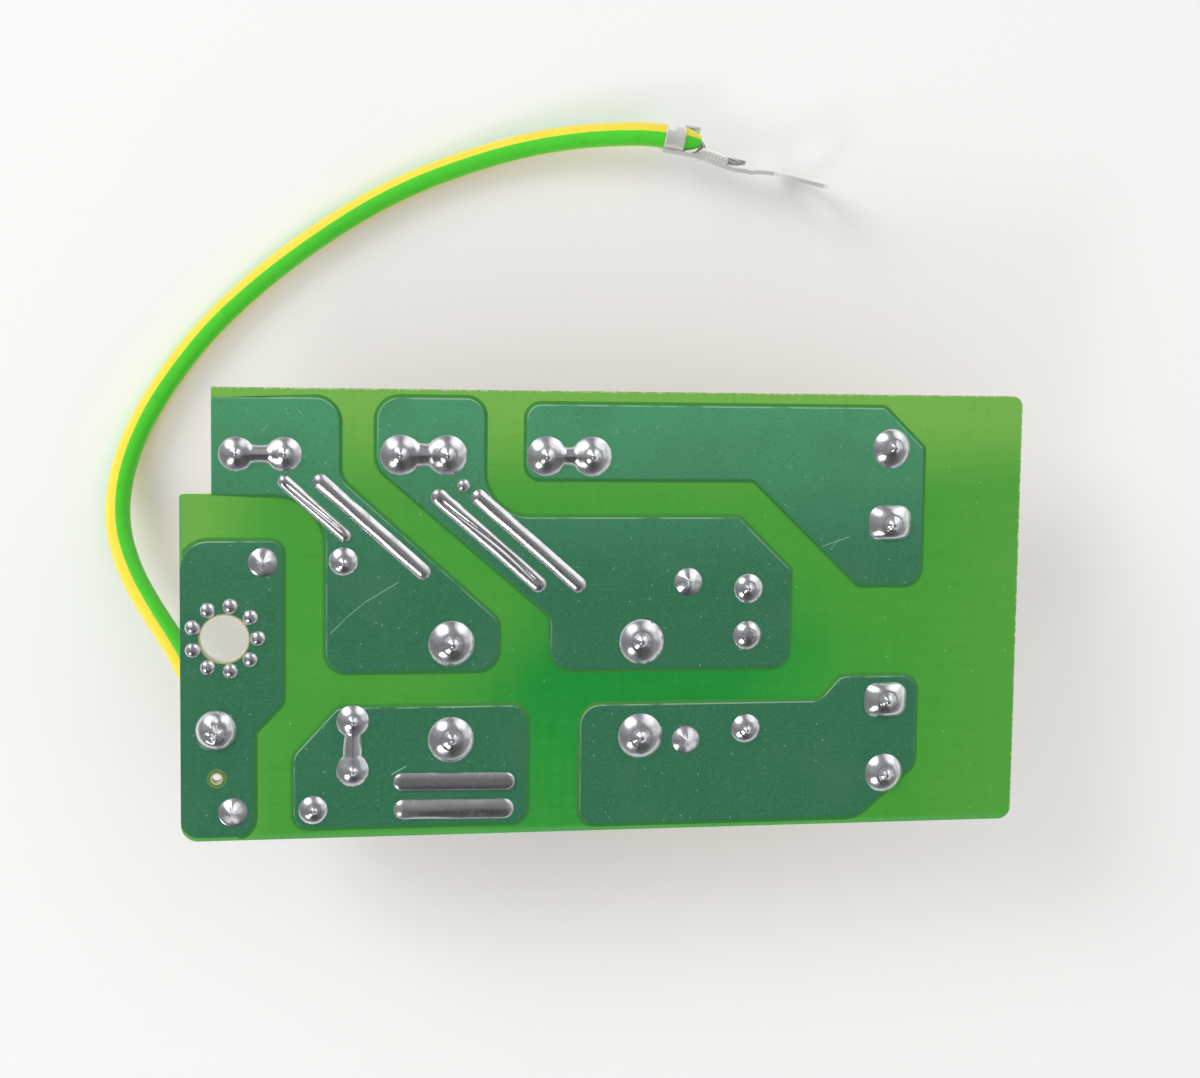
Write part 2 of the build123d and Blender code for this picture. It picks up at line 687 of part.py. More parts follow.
def bead(point, size):
    """Small round bead of solder with no lead in it."""
    radius, height = size
    stations = [(radius * share, height * rise) for share, rise in BEAD_PROFILE]
    return turned_body(drop(point, COPPER_FACE), stations, BEAD_SIDES)


def domes(points, size):
    """Group of like solder joints."""
    return Compound(children=[dome(point, size) for point in points])


def oblong_dome(point, size):
    """Solder joint on a pad with rounded corners, long across the board."""
    half_length, half_width, corner, height = size
    rings = []
    for share, rise in SOLDER_PROFILE:
        centre = drop(point, COPPER_FACE + height * rise)
        rings.append(pad_ring(centre, half_length * share, half_width * share, corner * share))
    return ringed_solid(rings)


def pad_ring(centre, half_length, half_width, corner):
    """Ring of points round an oblong with rounded corners."""
    ring = []
    for quarter in range(4):
        side_x = 1 if quarter in (0, 3) else -1
        side_y = 1 if quarter in (0, 1) else -1
        middle = Vector(side_x * (half_length - corner), side_y * (half_width - corner), 0)
        for step in range(PAD_CORNER_STEPS + 1):
            turn = math.pi / 2 * (quarter + step / PAD_CORNER_STEPS)
            ring.append(centre + middle + Vector(math.cos(turn), math.sin(turn), 0) * corner)
    return ring


def dumbbell(legs, size):
    """Solder joint over both legs of a tab, with the neck that joins its two domes."""
    first, second = legs
    middle = (first + second) * 0.5
    turn = math.degrees(math.atan2(second.Y - first.Y, second.X - first.X))
    neck = Box(TAB_LEG_PITCH, SOLDER_NECK_WIDTH, SOLDER_NECK_HEIGHT)
    neck = Pos(drop(middle, COPPER_FACE + SOLDER_NECK_HEIGHT / 2)) * Rot(0, 0, turn) * neck
    return dome(first, size) + dome(second, size) + neck


def tinned_bar(x, y, length, width, turn):
    """Strip of solder with round ends and a narrower top."""
    half_run = (length - width) / 2
    half_width = width / 2
    foot = bar_ring(half_run, half_width, 0)
    top = bar_ring(half_run, half_width - SOLDER_BAR_SLOPE, SOLDER_BAR_HEIGHT)
    return Pos(spot(x, y, COPPER_FACE)) * Rot(0, 0, turn) * ringed_solid([foot, top])


def bar_ring(half_run, half_width, z):
    """Ring of points round a bar with round ends, lying along X."""
    ring = []
    for side in (1, -1):
        for index in range(SOLDER_BAR_END_SIDES + 1):
            turn = math.pi * (index / SOLDER_BAR_END_SIDES - 0.5)
            x = side * (half_run + half_width * math.cos(turn))
            ring.append(Vector(x, side * half_width * math.sin(turn), z))
    return ring


def build_solder():
    """Every solder joint, grouped by the piece that it holds."""
    nodes = {}
    for net, place in TAB_PLACES.items():
        nodes[f"solder_tab_{net}"] = dumbbell(tab_legs(place), SOLDER_TABS[net])
    for name, (x, y, stop_side) in CLIP_PLACES.items():
        outer, inner = along_y((x, y), -stop_side * CLIP_LEG_PITCH / 2)
        joints = [dome(outer, SOLDER_CLIP_OUTER), oblong_dome(inner, SOLDER_CLIP_INNER)]
        nodes[f"solder_fuse_clip_{name}"] = Compound(children=joints)
    pins = [pin for pair in CHOKE_PINS.values() for pin in pair]
    nodes["solder_choke"] = domes(pins, SOLDER_CHOKE)
    nodes["solder_x_capacitor"] = domes(
        [*X_CAPACITOR_LEADS, X_CAPACITOR_SPARE], SOLDER_X_CAPACITOR
    )
    nodes["solder_resistor"] = domes(RESISTOR_LEADS, SOLDER_RESISTOR)
    for net, leads in Y_CAPACITOR_LEADS.items():
        nodes[f"solder_y_capacitor_{net}"] = domes(leads, SOLDER_Y_CAPACITOR)
    nodes["solder_ground_wire"] = dome(spot(*GROUND_WIRE_AT), SOLDER_GROUND)
    nodes["solder_spot"] = bead(spot(*SOLDER_SPOT_AT), SOLDER_SPOT)
    beads = [
        bead(spot(*SCREW_HOLE_AT) + place.position, (BEAD_RADIUS, BEAD_HEIGHT))
        for place in PolarLocations(BEAD_CIRCLE_RADIUS, BEAD_COUNT)
    ]
    nodes["solder_ring_beads"] = Compound(children=beads)
    for net, bars in SOLDER_BARS.items():
        nodes[f"solder_bars_{net}"] = Compound(children=[tinned_bar(*bar) for bar in bars])
    return nodes


# ---------------------------------------------------------------- ground wire
# The wire leaves the component side under its joint, comes out from under the left edge of
# the board, settles on the table and sweeps round behind the board. It rises again to the
# ring terminal, which stands on its rim and leans a little. Points are x, y, z in the frame
# of the model.
WIRE_ROUTE = [
    (-41.61, -11.93, 19.0),
    (-41.61, -11.93, 15.0),
    (-43.4, -9.5, 11.9),
    (-46.0, -4.6, 9.6),
    (-48.8, -0.7, 7.6),
    (-51.2, 3.4, 5.6),
    (-52.6, 8.2, 3.8),
    (-52.2, 13.5, 2.4),
    (-50.1, 19.3, 1.6),
    (-45.5, 26.5, 1.36),
    (-40.5, 32.1, 1.4),
    (-34.4, 37.5, 1.36),
    (-27.8, 42.2, 1.4),
    (-21.3, 45.9, 1.36),
    (-14.3, 48.8, 1.6),
    (-7.2, 51.0, 2.2),
    (-1.3, 52.0, 3.0),
    (3.1, 52.3, 3.6),
]
LEAN = math.radians(TERMINAL_LEAN)
TERMINAL_LIFT = RING_RADIUS * math.cos(LEAN) + TERMINAL_SHEET / 2 * math.sin(LEAN) + SEAT_GAP
TERMINAL_PLACE = (
    Pos(*TERMINAL_AT, TERMINAL_LIFT) * Rot(0, 0, TERMINAL_HEADING) * Rot(TERMINAL_LEAN, 0, 0)
)
# Flat-sided crimps: the size of each over its flats is derived from the wire that it holds
CRIMP_FLAT = math.cos(math.pi / CRIMP_SIDES)
SLEEVE_BORE = WIRE_RADIUS + INSULATION_CRIMP_CLEARANCE
BARREL_RADIUS = CONDUCTOR_RADIUS + CONDUCTOR_CRIMP_WALL


def run_place(index, across):
    """Place beside the start of one run of the terminal's sheet, turned along that run."""
    here = Vector(*TERMINAL_BENDS[index])
    run = Vector(*TERMINAL_BENDS[index + 1]) - here
    turn = math.degrees(math.atan2(run.Y, run.X))
    return TERMINAL_PLACE * Pos(here) * Rot(0, 0, turn) * Pos(0, across, 0)


SLEEVE_PLACE = run_place(0, SLEEVE_BORE + TERMINAL_SHEET / 2)
BARREL_PLACE = run_place(1, BARREL_RADIUS * CRIMP_FLAT - TERMINAL_SHEET / 2)


def reach_along(place, reach):
    """Point at a reach along one of the terminal's runs."""
    return (place * Pos(reach, 0, 0)).position


def wire_path():
    """Route of straight runs joined by tangent arcs, and the radius of each arc."""
    points = [Vector(*point) for point in WIRE_ROUTE]
    points += [reach_along(SLEEVE_PLACE, reach) for reach in (-WIRE_APPROACH, INSULATION_END)]
    radii = []
    for before, corner, after in zip(points, points[1:], points[2:]):
        half_turn = math.radians((corner - before).get_angle(after - corner)) / 2
        shorter = min((corner - before).length, (after - corner).length)
        radii.append(SHORTEST_ARC_SHARE * shorter / math.tan(half_turn))
    return FilletPolyline(*points, radius=radii), radii


def build_wire():
    """Insulated tube, and the bare ends of its conductor."""
    path, radii = wire_path()
    start = Plane(origin=path @ 0, z_dir=path % 0)
    section = RegularPolygon(WIRE_RADIUS, WIRE_SIDES)
    tube = sweep(start * section, path=path)
    print("wire length", round(path.length, 1), "radii", [round(radius, 1) for radius in radii])
    print("wire volume over section times length", round(tube.volume / (section.area * path.length), 5))
    ground = spot(*GROUND_WIRE_AT)
    board_run = [drop(ground, COMPONENT_FACE), drop(ground, COPPER_FACE)]
    far_run = [
        reach_along(SLEEVE_PLACE, INSULATION_END),
        reach_along(SLEEVE_PLACE, INSULATION_END + STRANDS_STRAIGHT),
        reach_along(BARREL_PLACE, STRANDS_BEND),
        reach_along(BARREL_PLACE, CONDUCTOR_CRIMP[1]),
        (TERMINAL_PLACE * Pos(*STRANDS_CUT)).position,
    ]
    return {
        "ground_wire_insulation": tube,
        "ground_wire_core_board_end": mitred_wire(board_run, CONDUCTOR_RADIUS),
        "ground_wire_core_terminal_end": mitred_wire(far_run, CONDUCTOR_RADIUS),
    }


def build_terminal(strands):
    """Ring terminal on its rim: bent sheet, ring, and the two crimps."""
    across = TERMINAL_BENDS[-1][1]
    bends = [Vector(*bend) for bend in (*TERMINAL_BENDS, (RING_CENTRE, across))]
    half_sheet = TERMINAL_SHEET / 2
    half_width = TERMINAL_FLOOR_WIDTH / 2
    first = Plane(origin=bends[0], x_dir=(0, 0, 1), z_dir=bends[1] - bends[0])
    corners = ((-half_width, -half_sheet), (half_width, -half_sheet))
    corners += tuple((-x, -y) for x, y in corners)
    ring = [first.from_local_coords((*corner, 0)) for corner in corners]
    sheet = mitred_bar(bends, ring)
    eye = Pos(RING_CENTRE, across, 0) * Rot(90, 0, 0)
    sheet += eye * Cylinder(RING_RADIUS, TERMINAL_SHEET)
    sheet -= eye * Cylinder(RING_HOLE_RADIUS, 2 * TERMINAL_SHEET)
    sleeve = crimp_rod(SLEEVE_BORE + INSULATION_CRIMP_WALL, *INSULATION_CRIMP)
    sleeve -= crimp_rod(SLEEVE_BORE, 0, INSULATION_END)
    barrel = crimp_rod(BARREL_RADIUS * CRIMP_FLAT, *CONDUCTOR_CRIMP)
    terminal = TERMINAL_PLACE * sheet + SLEEVE_PLACE * sleeve + BARREL_PLACE * barrel
    return {"ring_terminal": terminal - strands}


def crimp_rod(flat, start, stop):
    """Flat-sided rod along a run, its flats this far from its axis, between two reaches."""
    section = RegularPolygon(flat / CRIMP_FLAT, CRIMP_SIDES, rotation=180 / CRIMP_SIDES)
    return Pos(start, 0, 0) * extrude(Plane.YZ * section, stop - start)


# ---------------------------------------------------------------- write one file for each node
nodes = build_board()
for net, place in TAB_PLACES.items():
    nodes[f"tab_{net}"] = build_tab(place)
for name, place in CLIP_PLACES.items():
    nodes[f"fuse_clip_{name}"] = build_clip(place)
nodes.update(build_fuse())
nodes.update(build_choke())
nodes.update(build_x_capacitor())
for net in Y_CAPACITOR_PLACES:
    nodes.update(build_y_capacitor(net))
nodes.update(build_resistor())
nodes.update(build_solder())
nodes.update(build_wire())
nodes.update(build_terminal(nodes["ground_wire_core_terminal_end"]))
for name, shape in nodes.items():
    export_step(shape, f"parts/{name}.step")
print(len(nodes), "nodes")
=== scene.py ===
"""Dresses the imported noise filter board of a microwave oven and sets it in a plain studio.

The board lies solder side up on its components, with its green and yellow ground wire swept
round behind it to a ring terminal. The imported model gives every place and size. This script
gives each piece its finish, and remakes the solder joints, the wire, the windings and the
terminal with the detail that the plain solids leave out.
"""

import json
import logging
import math
from contextlib import contextmanager
from dataclasses import dataclass, field
from enum import Enum
from typing import Callable, Dict, Iterator, List, Optional, Sequence, Tuple, Union

import bpy
import numpy as np
from mathutils import Euler, Matrix, Vector
from mathutils.bvhtree import BVHTree

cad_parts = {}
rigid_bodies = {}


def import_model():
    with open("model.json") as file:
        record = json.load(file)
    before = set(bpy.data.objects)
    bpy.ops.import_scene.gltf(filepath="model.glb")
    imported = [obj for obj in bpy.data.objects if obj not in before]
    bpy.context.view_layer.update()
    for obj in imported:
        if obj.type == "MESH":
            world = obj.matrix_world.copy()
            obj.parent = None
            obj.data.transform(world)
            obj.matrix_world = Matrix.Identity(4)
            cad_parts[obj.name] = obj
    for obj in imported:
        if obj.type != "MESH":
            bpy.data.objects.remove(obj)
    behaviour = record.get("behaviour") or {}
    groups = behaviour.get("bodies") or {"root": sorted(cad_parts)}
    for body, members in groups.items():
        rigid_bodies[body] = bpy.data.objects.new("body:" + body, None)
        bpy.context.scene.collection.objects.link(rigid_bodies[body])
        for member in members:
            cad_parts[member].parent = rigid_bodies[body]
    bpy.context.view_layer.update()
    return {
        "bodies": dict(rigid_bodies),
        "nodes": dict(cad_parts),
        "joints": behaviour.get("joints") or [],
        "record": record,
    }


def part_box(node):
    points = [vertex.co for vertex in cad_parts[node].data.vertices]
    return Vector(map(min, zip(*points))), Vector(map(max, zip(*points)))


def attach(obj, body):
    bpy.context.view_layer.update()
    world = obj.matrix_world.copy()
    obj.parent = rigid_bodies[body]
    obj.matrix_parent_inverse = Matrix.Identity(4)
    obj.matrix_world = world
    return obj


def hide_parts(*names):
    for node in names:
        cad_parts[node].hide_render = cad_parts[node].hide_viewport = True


LOG = logging.getLogger("noise_filter_board")
MM = 0.001
BODY = "root"

Colour = Tuple[float, float, float]
Station = Tuple[float, float]
# A tint, and the share of it where it lies thickest
Wash = Tuple[Colour, float]


# ---------------------------------------------------------------- shader maths
class Field:
    """One value or colour that varies over a surface, carried by a node's output socket."""

    def __init__(self, canvas: "Canvas", socket: bpy.types.NodeSocket) -> None:
        """Wraps a socket of the canvas."""
        self.canvas = canvas
        self.socket = socket

    def _math(self, operation: str, *others: "Value", swapped: bool = False) -> "Field":
        """Adds a Math node.

        Args:
            operation: the Math node's operation.
            others: the other operands.
            swapped: True where this field is the second operand.

        Returns:
            The result as a field.
        """
        operands = [self, *others]
        if swapped:
            operands.reverse()
        return self.canvas.node(
            "ShaderNodeMath", {"operation": operation}, dict(enumerate(operands))
        )

    def __add__(self, other: "Value") -> "Field":
        """Sum."""
        return self._math("ADD", other)

    __radd__ = __add__

    def __sub__(self, other: "Value") -> "Field":
        """Difference."""
        return self._math("SUBTRACT", other)

    def __rsub__(self, other: "Value") -> "Field":
        """Difference, reflected."""
        return self._math("SUBTRACT", other, swapped=True)

    def __mul__(self, other: "Value") -> "Field":
        """Product."""
        return self._math("MULTIPLY", other)

    __rmul__ = __mul__

    def __abs__(self) -> "Field":
        """Size without sign."""
        return self._math("ABSOLUTE")

    def part(self) -> "Field":
        """Fractional part."""
        return self._math("FRACT")

    def most(self, other: "Value") -> "Field":
        """Larger of two values."""
        return self._math("MAXIMUM", other)

    def rise(self, low: float, high: float) -> "Field":
        """Smooth step from 0 at low to 1 at high, or downwards where high is the smaller."""
        settings = {"interpolation_type": "SMOOTHSTEP", "clamp": True}
        return self.canvas.node(
            "ShaderNodeMapRange", settings, {"Value": self, "From Min": low, "From Max": high}
        )


Value = Union[Field, float, int]


class Canvas:
    """Node tree of one material or of the world, written as expressions."""

    bare_cells: float = 0.4
    speck_rim: float = 0.3
    line_core: float = 0.3

    def __init__(self, owner: Union[bpy.types.Material, bpy.types.World]) -> None:
        """Empties the owner's node tree."""
        owner.use_nodes = True
        self.tree = owner.node_tree
        self.tree.nodes.clear()

    def node(
        self,
        kind: str,
        settings: Optional[dict] = None,
        inputs: Optional[dict] = None,
        output: Union[int, str] = 0,
    ) -> Field:
        """Adds one node.

        Args:
            kind: the node's type name.
            settings: attributes, set before the sockets.
            inputs: socket name or number to a value or a field.
            output: the output socket to return.

        Returns:
            The chosen output as a field.
        """
        made = self.tree.nodes.new(kind)
        for name, value in (settings or {}).items():
            setattr(made, name, value)
        for name, value in (inputs or {}).items():
            if isinstance(value, Field):
                self.tree.links.new(value.socket, made.inputs[name])
            else:
                made.inputs[name].default_value = value
        return Field(self, made.outputs[output] if len(made.outputs) else made.inputs[0])

    def place(self, centre: Vector = Vector()) -> Field:
        """Object coordinates in millimetres, measured from a centre in metres."""
        raw = self.node("ShaderNodeTexCoord", output="Object")
        moved = self.node(
            "ShaderNodeVectorMath", {"operation": "SUBTRACT"}, {0: raw, 1: tuple(centre)}
        )
        inputs = {"Vector": moved, "Scale": (1 / MM, 1 / MM, 1 / MM)}
        return self.node("ShaderNodeMapping", {"vector_type": "POINT"}, inputs)

    def stretch(self, where: Field, x: float, y: float, z: float) -> Field:
        """Coordinates scaled by a share along each axis."""
        return self.node(
            "ShaderNodeVectorMath", {"operation": "MULTIPLY"}, {0: where, 1: (x, y, z)}
        )

    def split(self, where: Field) -> Tuple[Field, Field, Field]:
        """X, Y and Z of a vector field."""
        first = self.node("ShaderNodeSeparateXYZ", {}, {0: where})
        outputs = first.socket.node.outputs
        return first, Field(self, outputs[1]), Field(self, outputs[2])

    def noise(self, where: Field, grain: float, detail: float = 2.0, rough: float = 0.5) -> Field:
        """Cloudy value around 0.5.

        Args:
            where: coordinates in millimetres.
            grain: size of its clouds in millimetres.
            detail: octaves.
            rough: weight of the finer octaves.

        Returns:
            The noise as a field.
        """
        inputs = {"Vector": where, "Scale": 1 / grain, "Detail": detail, "Roughness": rough}
        return self.node("ShaderNodeTexNoise", {"noise_dimensions": "3D"}, inputs)

    def specks(self, where: Field, spacing: float, size: float, flat: bool = False) -> Field:
        """Scattered dots: 1 inside a dot, 0 outside.

        Args:
            where: coordinates in millimetres.
            spacing: mean distance between dots in millimetres.
            size: share of the spacing that the largest dot's radius takes.
            flat: True on a level face, where the dots are spread over X and Y alone.

        Returns:
            The dots as a field.
        """
        settings = {"feature": "F1", "voronoi_dimensions": "2D" if flat else "3D"}
        inputs = {"Vector": where, "Scale": 1 / spacing}
        cell = self.node("ShaderNodeTexVoronoi", settings, inputs)
        tint = Field(self, cell.socket.node.outputs["Color"])
        keen, _, _ = self.split(tint)
        reach = keen.rise(self.bare_cells, 1.0) * size
        return (reach - cell).rise(0.0, size * self.speck_rim)

    def distance(self, where: Field, x: float, y: float, z: float) -> Field:
        """Distance in millimetres from a place in millimetres."""
        inputs = {0: where, 1: (x, y, z)}
        return self.node(
            "ShaderNodeVectorMath", {"operation": "DISTANCE"}, inputs, output="Value"
        )

    def mix(self, first: "Tint", second: "Tint", share: Value) -> Field:
        """Colour between two colours, each a triple or a field."""
        inputs = {0: share}
        for slot, colour in ((6, first), (7, second)):
            inputs[slot] = colour if isinstance(colour, Field) else (*colour, 1)
        return self.node("ShaderNodeMix", {"data_type": "RGBA"}, inputs, output=2)

    def wash(self, under: "Tint", coat: Wash, mask: Value) -> Field:
        """Colour with a wash over it: all of the wash's share where the mask is 1."""
        tint, share = coat
        return self.mix(under, tint, mask * share)

    def bump(self, height: Field, depth: float) -> Field:
        """Normal of a relief whose full height is a depth in millimetres."""
        inputs = {"Height": height, "Distance": depth * MM, "Strength": 1.0}
        return self.node("ShaderNodeBump", {}, inputs)

    def scratch(self, where: Field, start: Station, end: Station, width: float) -> Field:
        """Hairline between two places: 1 on the line, 0 off it.

        Args:
            where: coordinates in millimetres.
            start: one end as x and y in millimetres.
            end: the other end.
            width: width of the line in millimetres.

        Returns:
            The line as a field.
        """
        run = Vector((end[0] - start[0], end[1] - start[1]))
        along, across = run.normalized(), run.normalized().orthogonal()
        x, y, _ = self.split(where)
        from_start_x, from_start_y = x - start[0], y - start[1]
        travel = from_start_x * along.x + from_start_y * along.y
        aside = abs(from_start_x * across.x + from_start_y * across.y)
        inside = travel.rise(0, width) * (run.length - travel).rise(0, width)
        return inside * aside.rise(width, width * self.line_core)


Tint = Union[Field, Colour]


# ---------------------------------------------------------------- finishes
@dataclass(frozen=True)
class Finish:
    """A surface finish. Each kind paints its own node tree."""

    name: str

    def material(self) -> bpy.types.Material:
        """Material of this finish, made once."""
        label = f"{self.name}_finish"
        made = bpy.data.materials.get(label)
        if made is None:
            made = bpy.data.materials.new(label)
            canvas = Canvas(made)
            inputs = self.paint(canvas)
            shader = canvas.node("ShaderNodeBsdfPrincipled", {}, inputs)
            canvas.node("ShaderNodeOutputMaterial", {}, {"Surface": shader})
        return made

    def paint(self, canvas: Canvas) -> dict:
        """Inputs of the finish's Principled shader."""
        raise NotImplementedError


@dataclass(frozen=True)
class ShadePool:
    """Soft patch of painted shade: its middle and reach in millimetres, and its strength."""

    x: float
    y: float
    reach: float
    colour: Colour
    share: float = 1.0


@dataclass(frozen=True)
class CoatedLaminate(Finish):
    """Pale resin laminate with a translucent green mask on its solder side.

    Each painted glow, painted highlight band and line of chips runs between two distances from
    its edge of the board, in millimetres.
    """

    low: Vector = Vector()
    high: Vector = Vector()
    base: Colour = (0.060, 0.345, 0.036)
    worn: Wash = ((0.085, 0.345, 0.045), 0.5)
    # Painted shade: darker mask over the parts under the board, which keep light from shining
    # through it
    shade_pools: Tuple[ShadePool, ...] = (
        ShadePool(-2.0, -9.5, 17.0, (0.007, 0.282, 0.035)),
        ShadePool(11.5, -9.5, 17.0, (0.007, 0.276, 0.035)),
        ShadePool(-7.0, -20.0, 12.0, (0.020, 0.310, 0.040), 0.8),
        ShadePool(23.0, -12.0, 12.0, (0.033, 0.335, 0.034), 0.6),
    )
    pool_drift: float = 8.0
    pool_core: float = 0.25
    # Painted light: paler, yellower mask near the rear, left and right edges, where light shines up
    # through the laminate
    rim: Colour = (0.180, 0.460, 0.072)
    rear_glow: Station = (12.5, 1.0)
    left_glow: Station = (11.0, 1.0)
    left_glow_share: float = 0.75
    right_glow: Station = (14.0, 0.0)
    right_glow_share: float = 0.16
    # Painted highlight: paler band just inside the front and left edges, where the rounded edge
    # catches light
    seam: Wash = ((0.10, 0.40, 0.10), 0.7)
    front_highlight: Station = (0.75, 0.25)
    left_highlight: Station = (0.45, 0.2)
    thread_grain: float = 0.8
    thread_stretch: float = 0.10
    thread: Wash = ((0.20, 0.46, 0.10), 0.10)
    gap: Wash = ((0.01, 0.20, 0.02), 0.10)
    dust: Wash = ((0.38, 0.64, 0.30), 0.45)
    chip: Colour = (0.66, 0.62, 0.42)
    rear_chips: Station = (0.22, 0.05)
    right_chips: Station = (0.20, 0.05)
    resin: Colour = (0.70, 0.62, 0.42)
    resin_shade: Colour = (0.60, 0.50, 0.30)
    edge: Colour = (0.80, 0.76, 0.64)
    edge_shade: Colour = (0.45, 0.36, 0.20)
    film: Station = (0.16, 0.08)
    skin: Station = (0.02, 0.1)
    depth: float = 0.006

    def paint(self, canvas: Canvas) -> dict:
        """Mask by place on the top, with painted shade and light, sawn fibres on the edges, resin
        under the board.
        """
        where = canvas.place()
        x, y, z = canvas.split(where)
        left, right = self.low.x / MM, self.high.x / MM
        front, rear = self.low.y / MM, self.high.y / MM
        foot, face = self.low.z / MM, self.high.z / MM

        def past(axis: Field, edge: float, band: Station) -> Field:
            """0 to 1 between the band's two distances from an edge, a negative one inwards."""
            return axis.rise(edge + band[0], edge + band[1])

        def inward(band: Station) -> Station:
            """The same band, measured back from a high edge."""
            return -band[0], -band[1]

        wander = canvas.noise(where, 14.0, 2.0)
        thread = self.thread_stretch
        fibre = canvas.noise(canvas.stretch(where, 1.0, thread, 1.0), self.thread_grain, 3.0)
        weave = canvas.noise(canvas.stretch(where, thread, 1.0, 1.0), self.thread_grain, 3.0)
        grain = fibre + weave - 1.0
        base = canvas.wash(self.base, self.worn, wander.rise(0.4, 0.7))
        # Painted shade over the parts under the board
        for pool in self.shade_pools:
            away = canvas.distance(where, pool.x, pool.y, face)
            away = away + (wander - 0.5) * self.pool_drift
            patch = away.rise(pool.reach, pool.reach * self.pool_core)
            base = canvas.wash(base, (pool.colour, pool.share), patch)
        # Painted light: paler, yellower mask near the free edges, where light shines up through the
        # laminate
        lift = past(y, rear, inward(self.rear_glow))
        lift = lift.most(past(x, left, self.left_glow) * self.left_glow_share)
        lift = lift.most(past(x, right, inward(self.right_glow)) * self.right_glow_share)
        base = canvas.mix(base, self.rim, lift)
        # Painted highlight along the front and left edges
        seam = past(y, front, self.front_highlight).most(past(x, left, self.left_highlight))
        base = canvas.wash(base, self.seam, seam)
        base = canvas.wash(base, self.thread, grain.rise(0.02, 0.40))
        base = canvas.wash(base, self.gap, grain.rise(-0.02, -0.40))
        base = canvas.wash(base, self.dust, canvas.specks(where, 3.4, 0.036, True))
        saw = canvas.noise(canvas.stretch(where, 1.0, 1.0, 0.25), 0.35, 4.0, 0.7)
        sawn_rim = past(y, rear, inward(self.rear_chips))
        sawn_rim = sawn_rim.most(past(x, right, inward(self.right_chips)))
        base = canvas.mix(base, self.chip, sawn_rim * saw.rise(0.45, 0.62))
        sawn = canvas.mix(self.edge, self.edge_shade, saw.rise(0.52, 0.75))
        under = canvas.mix(self.resin, self.resin_shade, grain.rise(-0.2, 0.3))
        top = past(z, face, inward(self.film))
        body = past(z, foot, self.skin)
        colour = canvas.mix(canvas.mix(under, sawn, body), base, top)
        relief = fibre * 0.5 + weave * 0.5 + saw * (1.0 - top) * 3.0
        return {
            "Base Color": colour,
            "Roughness": 0.62 - top * 0.32 + grain * 0.1,
            "Specular IOR Level": 0.35,
            "Normal": canvas.bump(relief, self.depth),
        }


@dataclass(frozen=True)
class Hole:
    """Open hole through the board: its middle and its radius in metres."""

    centre: Vector = Vector()
    radius: float = 0.0

    def wider(self, by: float) -> "Hole":
        """The same hole with a larger radius."""
        return Hole(self.centre, self.radius + by)


